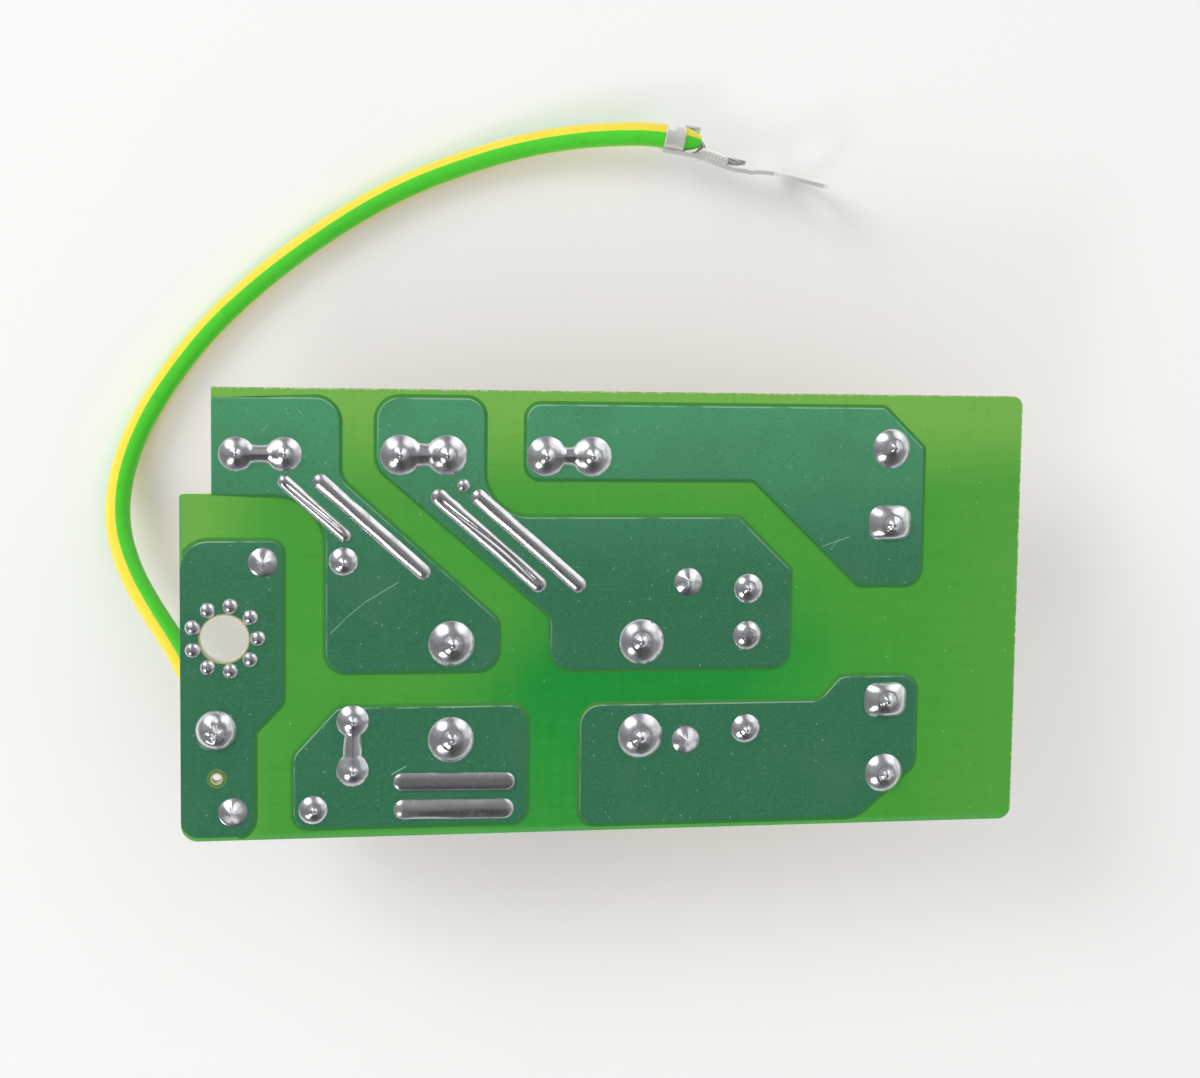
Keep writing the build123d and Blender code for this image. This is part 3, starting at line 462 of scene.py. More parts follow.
@dataclass(frozen=True)
class MaskedCopper(Finish):
    """Copper pour under the green mask: darker, bluer and finely mottled.

    The mask is open round the two holes. A hairline is its start, its end and its width in
    millimetres.
    """

    face: float = 0.0
    screw: Hole = Hole()
    spare: Hole = Hole()
    tone: Colour = (0.024, 0.195, 0.088)
    # Painted reflection: the pours turn lighter towards the rear, where they would mirror a
    # brighter room
    rear_reflection: Colour = (0.068, 0.365, 0.165)
    hairlines: Tuple[Tuple[float, float, float, float, float], ...] = (
        (-30.0, -2.0, -28.4, -0.4, 0.055),
        (-28.4, -0.4, -26.4, 1.3, 0.045),
        (-26.4, 1.3, -22.9, 3.4, 0.055),
        (-25.3, -0.7, -25.1, -0.9, 0.06),
        (-24.6, -0.9, -24.55, -1.25, 0.05),
        (22.6, 7.0, 25.8, 8.1, 0.05),
        (23.6, 6.6, 24.6, 7.9, 0.035),
        (-23.6, -16.9, -22.0, -16.0, 0.09),
        (-36.8, 19.0, -36.3, 19.6, 0.05),
        (-33.2, 21.2, -32.7, 20.6, 0.05),
    )

    reflection_rise: Station = (1.0, 23.0)
    pale_mottle: Wash = ((0.080, 0.300, 0.165), 0.5)
    deep_mottle: Wash = ((0.014, 0.110, 0.050), 0.5)
    cloud: Wash = ((0.055, 0.230, 0.115), 0.4)
    dust: Wash = ((0.30, 0.58, 0.42), 0.6)
    nick: Wash = ((0.32, 0.58, 0.42), 0.9)
    bare_board: Colour = (0.55, 0.46, 0.24)
    bare_resin: Colour = (0.66, 0.60, 0.40)
    spare_ring: Colour = (0.075, 0.26, 0.06)
    spare_rim: Colour = (0.22, 0.24, 0.07)
    spare_rim_width: float = 0.13
    spare_ring_width: float = 0.38
    whole: float = 9.0
    ring_soft: float = 0.04
    slope: Colour = (0.050, 0.320, 0.036)
    # Darker mask on the pour's foot: partly mask pooled against the copper, partly painted shade on
    # rims that face away from the light
    pooled_and_shaded: Wash = ((0.020, 0.205, 0.040), 0.8)
    # Painted highlight on the shoulder of rims that face the light, where the copper also shows a
    # little through the mask
    brink_highlight: Wash = ((0.52, 0.84, 0.56), 0.62)
    metallic: float = 0.18
    depth: float = 0.010

    def paint(self, canvas: Canvas) -> dict:
        """Mask over etched copper: orange peel, dust, nicks, hairlines, painted light and shade."""
        where = canvas.place()
        _, y, z = canvas.split(where)
        face = self.face / MM
        mottle = canvas.noise(where, 0.26, 4.0, 0.7)
        cloud = canvas.noise(where, 7.0, 3.0)
        # Painted reflection: lighter towards the rear
        base = canvas.mix(self.tone, self.rear_reflection, y.rise(*self.reflection_rise))
        base = canvas.wash(base, self.pale_mottle, mottle.rise(0.50, 0.72))
        base = canvas.wash(base, self.deep_mottle, mottle.rise(0.48, 0.28))
        base = canvas.wash(base, self.cloud, cloud.rise(0.45, 0.75))
        dust = canvas.specks(where, 1.9, 0.05, True).most(canvas.specks(where, 4.7, 0.022, True))
        base = canvas.wash(base, self.dust, dust)
        for start_x, start_y, end_x, end_y, width in self.hairlines:
            mark = canvas.scratch(where, (start_x, start_y), (end_x, end_y), width)
            base = canvas.wash(base, self.nick, mark)
        inner = self.spare.wider(-self.spare_ring_width * MM)
        for hole, wide, tint in (
            (self.screw, self.whole, self.bare_board),
            (self.spare, self.whole, self.spare_ring),
            (self.spare, self.spare_rim_width, self.spare_rim),
            (inner, self.whole, self.bare_resin),
        ):
            base = canvas.mix(base, tint, self.ring(canvas, where, hole, wide))
        slope = z.rise(face - 0.02, face - 0.07)
        base = canvas.mix(base, self.slope, slope)
        # Partly pooled mask, partly painted shade: darkest on rims that face away from the light
        lit_rim = canvas.node("ShaderNodeAttribute", {"attribute_name": "lit_rim"}, output="Fac")
        pooled_and_shaded = slope * (1.0 - lit_rim * 0.75) * (1.0 - z.rise(face - 0.07, face - 0.12))
        base = canvas.wash(base, self.pooled_and_shaded, pooled_and_shaded)
        # Painted highlight on rims that face the light, with a little metal showing through
        brink_highlight = z.rise(face - 0.004, face - 0.012) * z.rise(face - 0.052, face - 0.036)
        brink_highlight = brink_highlight * lit_rim * canvas.noise(where, 3.0, 2.0).rise(0.30, 0.55)
        base = canvas.wash(base, self.brink_highlight, brink_highlight)
        return {
            "Base Color": base,
            "Metallic": (self.metallic - dust * self.metallic).most(brink_highlight * 0.4),
            "Roughness": 0.36 + mottle * 0.12 - brink_highlight * 0.12,
            "Coat Weight": 0.8,
            "Coat Roughness": 0.14,
            "Coat IOR": 1.65,
            "Normal": canvas.bump(mottle, self.depth),
        }

    def ring(self, canvas: Canvas, where: Field, hole: Hole, wide: float) -> Field:
        """Ring that ends at a hole's rim.

        Args:
            canvas: the node tree.
            where: coordinates in millimetres.
            hole: the hole.
            wide: the ring's width in millimetres, measured inwards.

        Returns:
            1 on the ring, 0 off it.
        """
        centre, rim, soft = hole.centre, hole.radius / MM, self.ring_soft
        away = canvas.distance(where, centre.x / MM, centre.y / MM, self.face / MM)
        return away.rise(rim + soft, rim - soft) * away.rise(rim - wide - soft, rim - wide + soft)


@dataclass(frozen=True)
class BrightMetal(Finish):
    """Plated or tinned metal with faint waves, specks and tarnish."""

    colour: Colour = (0.82, 0.82, 0.83)
    tarnish: Colour = (0.46, 0.44, 0.42)
    sheen: float = 0.2
    wave: float = 0.5
    depth: float = 0.02
    metallic: float = 1.0
    film_share: float = 0.6
    film_matt: float = 0.18
    pits: Wash = ((0.18, 0.17, 0.17), 0.25)

    def paint(self, canvas: Canvas) -> dict:
        """Wavy reflection with a duller film in places."""
        where = canvas.place()
        ripple = canvas.noise(where, self.wave, 3.0, 0.6)
        film = canvas.noise(where, self.wave * 2.6, 3.0, 0.6)
        tarnish = self.tarnish, self.film_share
        base = canvas.wash(self.colour, tarnish, film.rise(0.52, 0.82))
        base = canvas.wash(base, self.pits, canvas.specks(where, self.wave * 1.4, 0.10))
        return {
            "Base Color": base,
            "Metallic": self.metallic,
            "Roughness": self.sheen + film.rise(0.45, 0.8) * self.film_matt,
            "Normal": canvas.bump(ripple, self.depth),
        }


@dataclass(frozen=True)
class Moulded(Finish):
    """Moulded, dipped or sintered part of one colour, with a fine skin."""

    colour: Colour = (0.5, 0.5, 0.5)
    shade: Colour = (0.3, 0.3, 0.3)
    sheen: float = 0.4
    grain: float = 0.4
    depth: float = 0.02
    cloud_share: float = 0.7
    skin_share: float = 0.4
    dust: Wash = ((0.70, 0.69, 0.66), 0.5)

    def paint(self, canvas: Canvas) -> dict:
        """Clouded colour over a fine orange peel, with a little dust."""
        where = canvas.place()
        skin = canvas.noise(where, self.grain, 3.0, 0.6)
        cloud = canvas.noise(where, self.grain * 9.0, 3.0)
        base = canvas.wash(self.colour, (self.shade, self.cloud_share), cloud.rise(0.45, 0.85))
        base = canvas.wash(base, (self.shade, self.skin_share), skin.rise(0.55, 0.8))
        base = canvas.wash(base, self.dust, canvas.specks(where, 2.4, 0.05))
        return {
            "Base Color": base,
            "Roughness": self.sheen + skin * 0.12,
            "Normal": canvas.bump(skin, self.depth),
        }


@dataclass(frozen=True)
class BandedLacquer(Finish):
    """Resistor lacquer with plain colour bands across it."""

    centre: Vector = Vector()
    body: Colour = (0.62, 0.47, 0.28)
    shade: Colour = (0.50, 0.36, 0.20)
    band_edge: Station = (0.48, 0.40)
    bands: Tuple[Tuple[float, Colour], ...] = (
        (-2.9, (0.16, 0.06, 0.02)),
        (-1.5, (0.02, 0.02, 0.02)),
        (-0.2, (0.05, 0.28, 0.06)),
        (2.9, (0.55, 0.36, 0.08)),
    )

    def paint(self, canvas: Canvas) -> dict:
        """Bands by distance along the body."""
        where = canvas.place(self.centre)
        _, y, _ = canvas.split(where)
        skin = canvas.noise(where, 0.7, 3.0)
        base = canvas.mix(self.body, self.shade, skin.rise(0.45, 0.8))
        for middle, colour in self.bands:
            base = canvas.mix(base, colour, abs(y - middle + skin * 0.1).rise(*self.band_edge))
        return {
            "Base Color": base,
            "Roughness": 0.28 + skin * 0.1,
            "Normal": canvas.bump(skin, 0.05),
        }


@dataclass(frozen=True)
class StripedSheath(Finish):
    """Wire insulation with two yellow stripes on green, by angle round the tube."""

    yellow: Colour = (0.93, 0.76, 0.06)
    yellow_shade: Wash = ((0.86, 0.64, 0.03), 0.6)
    green: Colour = (0.080, 0.700, 0.032)
    green_shade: Wash = ((0.058, 0.580, 0.022), 0.6)
    scuff: Wash = ((0.75, 0.80, 0.62), 0.5)
    stripes: float = 2.0
    middle: float = 0.672
    drift: float = 0.16
    stripe_edge: Station = (0.265, 0.240)

    def paint(self, canvas: Canvas) -> dict:
        """Stripes read from the tube's own map of turns."""
        where = canvas.place()
        around = canvas.node("ShaderNodeUVMap", {"uv_map": "sheath"})
        turn, _, _ = canvas.split(around)
        drift = canvas.noise(where, 16.0, 1.0)
        round_it = turn * self.stripes + (drift - 0.5) * self.drift
        off = abs((round_it + (0.5 - self.middle)).part() - 0.5)
        stripe = off.rise(*self.stripe_edge)
        skin = canvas.noise(where, 0.9, 3.0)
        leaf = canvas.wash(self.green, self.green_shade, skin.rise(0.45, 0.85))
        sun = canvas.wash(self.yellow, self.yellow_shade, skin.rise(0.45, 0.85))
        base = canvas.mix(leaf, sun, stripe)
        base = canvas.wash(base, self.scuff, canvas.specks(where, 1.6, 0.07))
        return {
            "Base Color": base,
            "Roughness": 0.26 + skin * 0.12,
            "Specular IOR Level": 0.5,
            "Normal": canvas.bump(skin, 0.03),
        }


# ---------------------------------------------------------------- modelling
def triples(items: bpy.types.bpy_prop_collection, name: str) -> np.ndarray:
    """One row of three numbers for each item of a mesh's collection."""
    values = np.empty(len(items) * 3)
    items.foreach_get(name, values)
    return values.reshape(-1, 3)


def travelled(path: np.ndarray) -> np.ndarray:
    """Distance along a path at each of its points."""
    steps = np.linalg.norm(np.diff(path, axis=0), axis=1)
    return np.concatenate([[0], np.cumsum(steps)])


def bell(where: np.ndarray, middle: float, reach: float) -> np.ndarray:
    """Bell curve that is 1 in its middle."""
    return np.exp(-(((where - middle) / reach) ** 2))


def ease(share: np.ndarray) -> np.ndarray:
    """Smooth step over a share that runs from 0 to 1."""
    return share * share * (3 - 2 * share)


def crowded(grid: np.ndarray) -> np.ndarray:
    """Sine spacing of grid places from -1 to 1, closer together towards the rims."""
    return np.sin(grid * math.pi / 2)


class Bench:
    """Modelling steps shared by the pieces, all worked by Blender's own operators."""

    weld: float = 1e-7

    @staticmethod
    def clear() -> None:
        """Leaves edit mode and deselects everything."""
        if bpy.context.object and bpy.context.object.mode != "OBJECT":
            bpy.ops.object.mode_set(mode="OBJECT")
        bpy.ops.object.select_all(action="DESELECT")

    @staticmethod
    def pick(piece: bpy.types.Object) -> None:
        """Selects one piece alone and makes it active."""
        Bench.clear()
        piece.select_set(True)
        bpy.context.view_layer.objects.active = piece

    @staticmethod
    @contextmanager
    def editing(piece: bpy.types.Object) -> Iterator[None]:
        """Edits one piece, all of it selected, and leaves edit mode at the end."""
        Bench.pick(piece)
        bpy.ops.object.mode_set(mode="EDIT")
        bpy.ops.mesh.select_all(action="SELECT")
        yield
        bpy.ops.object.mode_set(mode="OBJECT")

    @staticmethod
    def settle(piece: bpy.types.Object) -> None:
        """Moves the piece's place, turn and size into its mesh."""
        Bench.pick(piece)
        bpy.ops.object.transform_apply(location=True, rotation=True, scale=True)

    @staticmethod
    def turned(name: str, stations: Sequence[Station], steps: int) -> bpy.types.Object:
        """Spins a profile about Z.

        Args:
            name: the piece's name.
            stations: (radius, height) in metres from the top pole to the bottom pole.
            steps: segments round.

        Returns:
            A closed piece standing at the origin.
        """
        Bench.clear()
        bpy.ops.mesh.primitive_plane_add(size=MM)
        piece = bpy.context.active_object
        piece.name = piece.data.name = name
        with Bench.editing(piece):
            bpy.ops.mesh.merge(type="CENTER")
            bpy.ops.transform.translate(value=(stations[0][0], 0, stations[0][1]))
            for (radius, height), (wider, lower) in zip(stations, stations[1:]):
                step = {"value": (wider - radius, 0, lower - height)}
                bpy.ops.mesh.extrude_vertices_move(TRANSFORM_OT_translate=step)
            bpy.ops.mesh.select_all(action="SELECT")
            bpy.ops.mesh.spin(steps=steps, angle=2 * math.pi, center=(0, 0, 0), axis=(0, 0, 1))
            bpy.ops.mesh.select_all(action="SELECT")
            bpy.ops.mesh.remove_doubles(threshold=Bench.weld)
            bpy.ops.mesh.normals_make_consistent(inside=False)
        return piece

    @staticmethod
    def modifier(piece: bpy.types.Object, kind: str, **settings: object) -> None:
        """Adds a modifier with its settings and applies it."""
        Bench.pick(piece)
        made = piece.modifiers.new(kind.title(), kind)
        for name, value in settings.items():
            setattr(made, name, value)
        bpy.ops.object.modifier_apply(modifier=made.name)

    @staticmethod
    def smooth(piece: bpy.types.Object, degrees: float = 40.0, weighted: bool = False) -> None:
        """Smooth shading up to an angle, with large flat faces kept flat where weighted."""
        Bench.pick(piece)
        bpy.ops.object.shade_smooth_by_angle(angle=math.radians(degrees))
        if weighted:
            Bench.modifier(piece, "WEIGHTED_NORMAL", keep_sharp=True, weight=50)

    @staticmethod
    def bevel(piece: bpy.types.Object, width: float, segments: int, angle: float) -> None:
        """Rounds the edges that turn by more than an angle in radians."""
        limits = {"limit_method": "ANGLE", "angle_limit": angle}
        Bench.modifier(piece, "BEVEL", width=width, segments=segments, **limits)

    @staticmethod
    def join(name: str, pieces: Sequence[bpy.types.Object]) -> bpy.types.Object:
        """Joins the pieces into the first and names it."""
        Bench.clear()
        for piece in pieces:
            piece.select_set(True)
        bpy.context.view_layer.objects.active = pieces[0]
        if len(pieces) > 1:
            bpy.ops.object.join()
        pieces[0].name = pieces[0].data.name = name
        return pieces[0]

    @staticmethod
    def reshape(piece: bpy.types.Object, move: Callable[[np.ndarray], np.ndarray]) -> None:
        """Moves every vertex by a formula on an array of places in metres."""
        moved = move(triples(piece.data.vertices, "co"))
        piece.data.vertices.foreach_set("co", moved.ravel())
        piece.data.update()

    @staticmethod
    def from_node(frame: dict, node: str, name: str, flat: bool = True) -> bpy.types.Object:
        """Copy of a CAD node's mesh with its loose triangles merged.

        Args:
            frame: the loaded frame.
            node: the CAD node's name.
            name: the copy's name.
            flat: True to melt level triangles into whole faces, False to pair them up.

        Returns:
            The copy, linked and selected.
        """
        Bench.clear()
        source = frame["nodes"][node]
        mesh = source.data.copy()
        mesh.materials.clear()
        piece = bpy.data.objects.new(name, mesh)
        mesh.name = name
        bpy.context.collection.objects.link(piece)
        with Bench.editing(piece):
            bpy.ops.mesh.remove_doubles(threshold=10 * Bench.weld)
            bpy.ops.mesh.customdata_custom_splitnormals_clear()
            if flat:
                bpy.ops.mesh.dissolve_limited(angle_limit=math.radians(0.5))
            else:
                bpy.ops.mesh.tris_convert_to_quads()
        return piece

    @staticmethod
    def grid(name: str, across: int, along: int, form: Callable) -> bpy.types.Object:
        """Square grid from -1 to 1 shaped by a formula on its places.

        Args:
            name: the piece's name.
            across: squares along the grid's first side.
            along: squares along its second side.
            form: turns an array of (u, v, 0) into places in metres.

        Returns:
            The shaped sheet with its doubles merged.
        """
        Bench.clear()
        bpy.ops.mesh.primitive_grid_add(x_subdivisions=across, y_subdivisions=along, size=2.0)
        piece = bpy.context.active_object
        piece.name = piece.data.name = name
        Bench.reshape(piece, form)
        with Bench.editing(piece):
            bpy.ops.mesh.remove_doubles(threshold=Bench.weld)
        return piece

    @staticmethod
    def close_under(piece: bpy.types.Object) -> None:
        """Fills the open foot of a swelling and turns its faces outwards."""
        with Bench.editing(piece):
            bpy.ops.mesh.select_mode(type="EDGE")
            bpy.ops.mesh.select_all(action="DESELECT")
            bpy.ops.mesh.select_non_manifold()
            bpy.ops.mesh.edge_face_add()
            bpy.ops.mesh.select_all(action="SELECT")
            bpy.ops.mesh.normals_make_consistent(inside=False)
            bpy.ops.mesh.select_mode(type="VERT")

    @staticmethod
    def line(name: str, points: Sequence[Vector]) -> np.ndarray:
        """Places along a smooth spline that has the points as its control points."""
        data = bpy.data.curves.new(name, "CURVE")
        data.dimensions = "3D"
        data.resolution_u = 12
        spline = data.splines.new("NURBS")
        spline.points.add(len(points) - 1)
        for point, place in zip(spline.points, points):
            point.co = (*place, 1)
        spline.order_u = 3
        spline.use_endpoint_u = True
        holder = bpy.data.objects.new(name, data)
        bpy.context.collection.objects.link(holder)
        bpy.context.view_layer.update()
        mesh = bpy.data.meshes.new_from_object(holder)
        places = np.array([vertex.co[:] for vertex in mesh.vertices])
        bpy.data.objects.remove(holder)
        bpy.data.meshes.remove(mesh)
        return places

    @staticmethod
    def carried(path: np.ndarray, up: Vector) -> Tuple[np.ndarray, np.ndarray]:
        """Two directions across a path, carried back from its far end without twist.

        Args:
            path: centreline points in metres.
            up: the first direction at the far end.

        Returns:
            The first and the second direction at every point.
        """
        travel = np.gradient(path, axis=0)
        travel /= np.linalg.norm(travel, axis=1)[:, None]
        lift = np.empty_like(path)
        kept = np.array(up, float)
        for index in range(len(path) - 1, -1, -1):
            kept = kept - travel[index] * kept.dot(travel[index])
            kept /= np.linalg.norm(kept)
            lift[index] = kept
        return lift, np.cross(travel, lift)

    @staticmethod
    def tube(
        name: str, path: np.ndarray, radius: Union[float, np.ndarray], sides: int, up: Vector
    ) -> bpy.types.Object:
        """Round tube closed at both ends, with a UV map round it.

        Args:
            name: the piece's name.
            path: centreline points in metres.
            radius: outer radius in metres, one number or one for each point.
            sides: flats round the tube.
            up: direction of U = 0 at the far end.

        Returns:
            The tube.
        """
        lift, side = Bench.carried(path, up)
        turns = np.arange(sides) * 2 * math.pi / sides
        girth = (np.ones(len(path)) * radius)[:, None, None]
        rings = (
            path[:, None]
            + lift[:, None] * (np.cos(turns)[None, :, None] * girth)
            + side[:, None] * (np.sin(turns)[None, :, None] * girth)
        )
        faces, marks = [], []
        run = travelled(path)
        for ring in range(len(path) - 1):
            for index in range(sides):
                after = (index + 1) % sides
                low, high = ring * sides, (ring + 1) * sides
                faces.append((low + index, high + index, high + after, low + after))
                u, v = index / sides, (index + 1) / sides
                marks += [(u, run[ring]), (u, run[ring + 1]), (v, run[ring + 1]), (v, run[ring])]
        faces.append(tuple(range(sides)))
        faces.append(tuple((len(path) - 1) * sides + index for index in reversed(range(sides))))
        marks += [(index / sides, 0) for index in range(sides)]
        marks += [(index / sides, run[-1]) for index in reversed(range(sides))]
        mesh = bpy.data.meshes.new(name)
        mesh.from_pydata(rings.reshape(-1, 3).tolist(), [], faces)
        layer = mesh.uv_layers.new(name="sheath")
        for loop, mark in zip(layer.data, marks):
            loop.uv = mark
        mesh.validate()
        piece = bpy.data.objects.new(name, mesh)
        bpy.context.collection.objects.link(piece)
        Bench.smooth(piece)
        return piece


def dress(piece: bpy.types.Object, finish: Finish, slot: str, *nodes: str) -> None:
    """Gives a new piece its finish and its body, and hides the CAD nodes it stands for.

    Args:
        piece: the new piece.
        finish: its finish.
        slot: the record's material slot; not used.
        nodes: CAD nodes that it replaces.
    """
    piece.data.materials.clear()
    piece.data.materials.append(finish.material())
    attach(piece, BODY)
    if nodes:
        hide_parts(*nodes)
    LOG.info("%s: %d faces", piece.name, len(piece.data.polygons))


def islands(frame: dict, node: str) -> List[np.ndarray]:
    """Corner points of each separate solid in a CAD node, from left to right.

    Args:
        frame: the loaded frame.
        node: the CAD node's name.

    Returns:
        One array of points in metres for each solid.
    """
    mesh = frame["nodes"][node].data
    corners = triples(mesh.vertices, "co").round(7)
    keys, index = np.unique(corners, axis=0, return_inverse=True)
    faces = index.ravel()[np.array([tuple(face.vertices) for face in mesh.polygons])]
    group = np.arange(len(keys))
    while True:
        lowest = group.copy()
        np.minimum.at(lowest, faces.ravel(), np.repeat(group[faces].min(axis=1), 3))
        if (lowest == group).all():
            break
        group = lowest
    return [keys[group == label] for label in np.unique(group)]


def span(points: np.ndarray) -> Tuple[Vector, Vector]:
    """Lowest and highest corner of a set of points."""
    return Vector(points.min(axis=0)), Vector(points.max(axis=0))


# ---------------------------------------------------------------- studio
@dataclass(frozen=True)
class Glow:
    """Bright patch of the room: where it stands and how wide it is, in degrees."""

    azimuth: float
    zenith: float
    wide: float
    soft: float
    level: float

    def over(self, x: Field, y: Field, z: Field) -> Field:
        """Light of the patch over the sky's three directions."""
        azimuth, zenith = math.radians(self.azimuth), math.radians(self.zenith)
        aim_x = math.sin(zenith) * math.cos(azimuth)
        aim_y = math.sin(zenith) * math.sin(azimuth)
        aim = x * aim_x + y * aim_y + z * math.cos(zenith)
        outer, inner = math.radians(self.wide + self.soft), math.radians(self.wide)
        return aim.rise(math.cos(outer), math.cos(inner)) * self.level


@dataclass(frozen=True)
class Lamp:
    """Square soft lamp that faces the board: its place and side in metres, and its watts."""

    name: str
    place: Tuple[float, float, float]
    side: float
    power: float

    def hang(self) -> None:
        """Adds the lamp, unseen in reflections, where the room's own patches stand for it."""
        data = bpy.data.lights.new(self.name, "AREA")
        data.size = self.side
        data.energy = self.power
        lamp = bpy.data.objects.new(self.name, data)
        lamp.location = self.place
        lamp.rotation_euler = (-Vector(self.place)).to_track_quat("-Z", "Y").to_euler()
        lamp.visible_glossy = False
        bpy.context.collection.objects.link(lamp)


@dataclass
class Studio:
    """Camera, lamps, pale floor and room.

    The room's bands are heights of the line of sight, each from where it starts to where it
    is full, and then its light.
    """

    camera_at: Vector = field(default_factory=lambda: Vector((-36.859, 24.921, 217.745)) * MM)
    camera_turn: Tuple[float, float, float] = (-5.0018, -10.0581, 0.7755)
    lens: float = 57.0
    film: float = 36.0
    floor_size: float = 3.0
    floor_drop: float = 0.02 * MM
    floor_tints: Tuple[Colour, Colour] = ((0.95, 0.95, 0.945), (0.97, 0.97, 0.965))
    floor_matt: float = 0.8
    lamps: Tuple[Lamp, ...] = (
        Lamp("window", (-0.93, 0.60, 0.69), 0.60, 6.6),
        Lamp("spot", (-0.54, -0.76, 0.68), 0.30, 1.6),
    )
    glows: Tuple[Glow, ...] = (
        Glow(124.0, 57.0, 11.0, 14.0, 1.7),
        Glow(130.0, 50.0, 5.0, 46.0, 0.20),
        Glow(236.0, 52.0, 5.5, 7.0, 5.0),
        Glow(50.0, 68.0, 8.0, 20.0, 1.15),
        Glow(12.0, 70.0, 8.0, 16.0, 0.50),
        Glow(290.0, 45.0, 10.0, 34.0, -0.17),
    )
    ceiling: float = 0.26
    walls: Tuple[float, float, float] = (0.24, 0.05, 0.60)
    right_wall: Tuple[float, float, float] = (0.1, 0.8, 0.10)
    backdrop: Tuple[float, float, float] = (0.06, 0.03, 0.14)
    even_light: float = 0.90

    def build(self) -> None:
        """Makes the camera, then the floor, the lamps and the room."""
        self.make_camera()
        self.make_floor()
        for lamp in self.lamps:
            lamp.hang()
        self.make_room()
        bpy.context.scene.view_settings.view_transform = "Standard"

    def make_camera(self) -> None:
        """Looks down on the board, a little from the left and the rear."""
        data = bpy.data.cameras.new("camera")
        data.lens = self.lens
        data.sensor_width = self.film
        data.clip_start = 10 * MM
        camera = bpy.data.objects.new("camera", data)
        camera.location = self.camera_at
        camera.rotation_euler = Euler([math.radians(turn) for turn in self.camera_turn])
        bpy.context.collection.objects.link(camera)
        bpy.context.scene.camera = camera

    def make_floor(self) -> None:
        """Plain pale floor under the part."""
        Bench.clear()
        bpy.ops.mesh.primitive_plane_add(size=self.floor_size, location=(0, 0, -self.floor_drop))
        floor = bpy.context.active_object
        floor.name = floor.data.name = "floor"
        made = bpy.data.materials.new("pale_floor")
        canvas = Canvas(made)
        cloud = canvas.noise(canvas.place(), 60.0, 2.0)
        colour = canvas.mix(*self.floor_tints, cloud)
        inputs = {"Base Color": colour, "Roughness": self.floor_matt}
        shader = canvas.node("ShaderNodeBsdfPrincipled", {}, inputs)
        canvas.node("ShaderNodeOutputMaterial", {}, {"Surface": shader})
        floor.data.materials.append(made)

    def make_room(self) -> None:
        """Room with a white backdrop at the horizon, dim overhead, and even to dull surfaces.

        The camera and polished metal see the same room.
        """
        world = bpy.data.worlds.new("room")
        bpy.context.scene.world = world
        if hasattr(world, "cycles"):
            world.cycles.sampling_method = "NONE"
        canvas = Canvas(world)
        x, y, z = canvas.split(canvas.node("ShaderNodeTexCoord", output="Generated"))
        room = self.ceiling
        for axis, (start, full, light) in (
            (z, self.walls),
            (x, self.right_wall),
            (z, self.backdrop),
        ):
            room = room + axis.rise(start, full) * light
        for glow in self.glows:
            room = room + glow.over(x, y, z)
        dull = canvas.node("ShaderNodeLightPath", output="Is Diffuse Ray")
        inputs = {0: dull, 2: room, 3: self.even_light}
        level = canvas.node("ShaderNodeMix", {"data_type": "FLOAT"}, inputs)
        shader = canvas.node("ShaderNodeBackground", {}, {"Strength": level})
        canvas.node("ShaderNodeOutputWorld", {}, {"Surface": shader})


# ---------------------------------------------------------------- ground wire
@dataclass
class GroundWire:
    """Green and yellow wire from the board to its ring terminal."""

    diameter: float = 2.7 * MM
    length: float = 115.3 * MM
    sides: int = 32
    pinch: Station = (0.40, 1.9)
    pinch_power: float = 1.1
    lip: Station = (0.10, 0.1)
    route: Tuple[Tuple[float, float, float], ...] = (
        (-41.61, -11.93, 19.0),
        (-41.61, -11.93, 15.0),
        (-43.4, -9.5, 11.9),
        (-46.0, -4.6, 9.6),
        (-48.8, -0.7, 7.6),
        (-51.2, 3.4, 5.6),
        (-52.6, 8.2, 3.8),
        (-52.2, 13.5, 2.4),
        (-50.1, 19.3, 1.6),
        (-45.5, 26.5, 1.36),
        (-40.5, 32.1, 1.4),
        (-34.4, 37.5, 1.36),
        (-27.8, 42.2, 1.4),
        (-21.3, 45.9, 1.36),
        (-14.3, 48.8, 1.6),
        (-7.2, 51.0, 2.2),
        (-1.3, 52.0, 3.0),
        (3.1, 52.3, 3.6),
        (6.857, 52.454, 3.879),
        (12.3, 51.77, 3.952),
    )

    def build(self, riders: Sequence[bpy.types.Object]) -> None:
        """Args:
            riders: the pieces on its far end; not used.
        """
        points = [Vector(point) * MM for point in self.route]
        path = Bench.line("ground_wire_line", points)
        run = travelled(path)
        left = np.clip((run[-1] - run) / MM, 0, None)
        pinched = np.clip(1 - left / self.pinch[1], 0, 1) ** self.pinch_power
        girth = 1 - self.pinch[0] * pinched - self.lip[0] * np.exp(-left / self.lip[1])
        sheath = Bench.tube(
            "ground_wire_sheath", path, self.diameter / 2 * girth, self.sides, Vector((0, 0, 1))
        )
        dress(sheath, StripedSheath("striped_sheath"), "wire_insulation", "ground_wire_insulation")


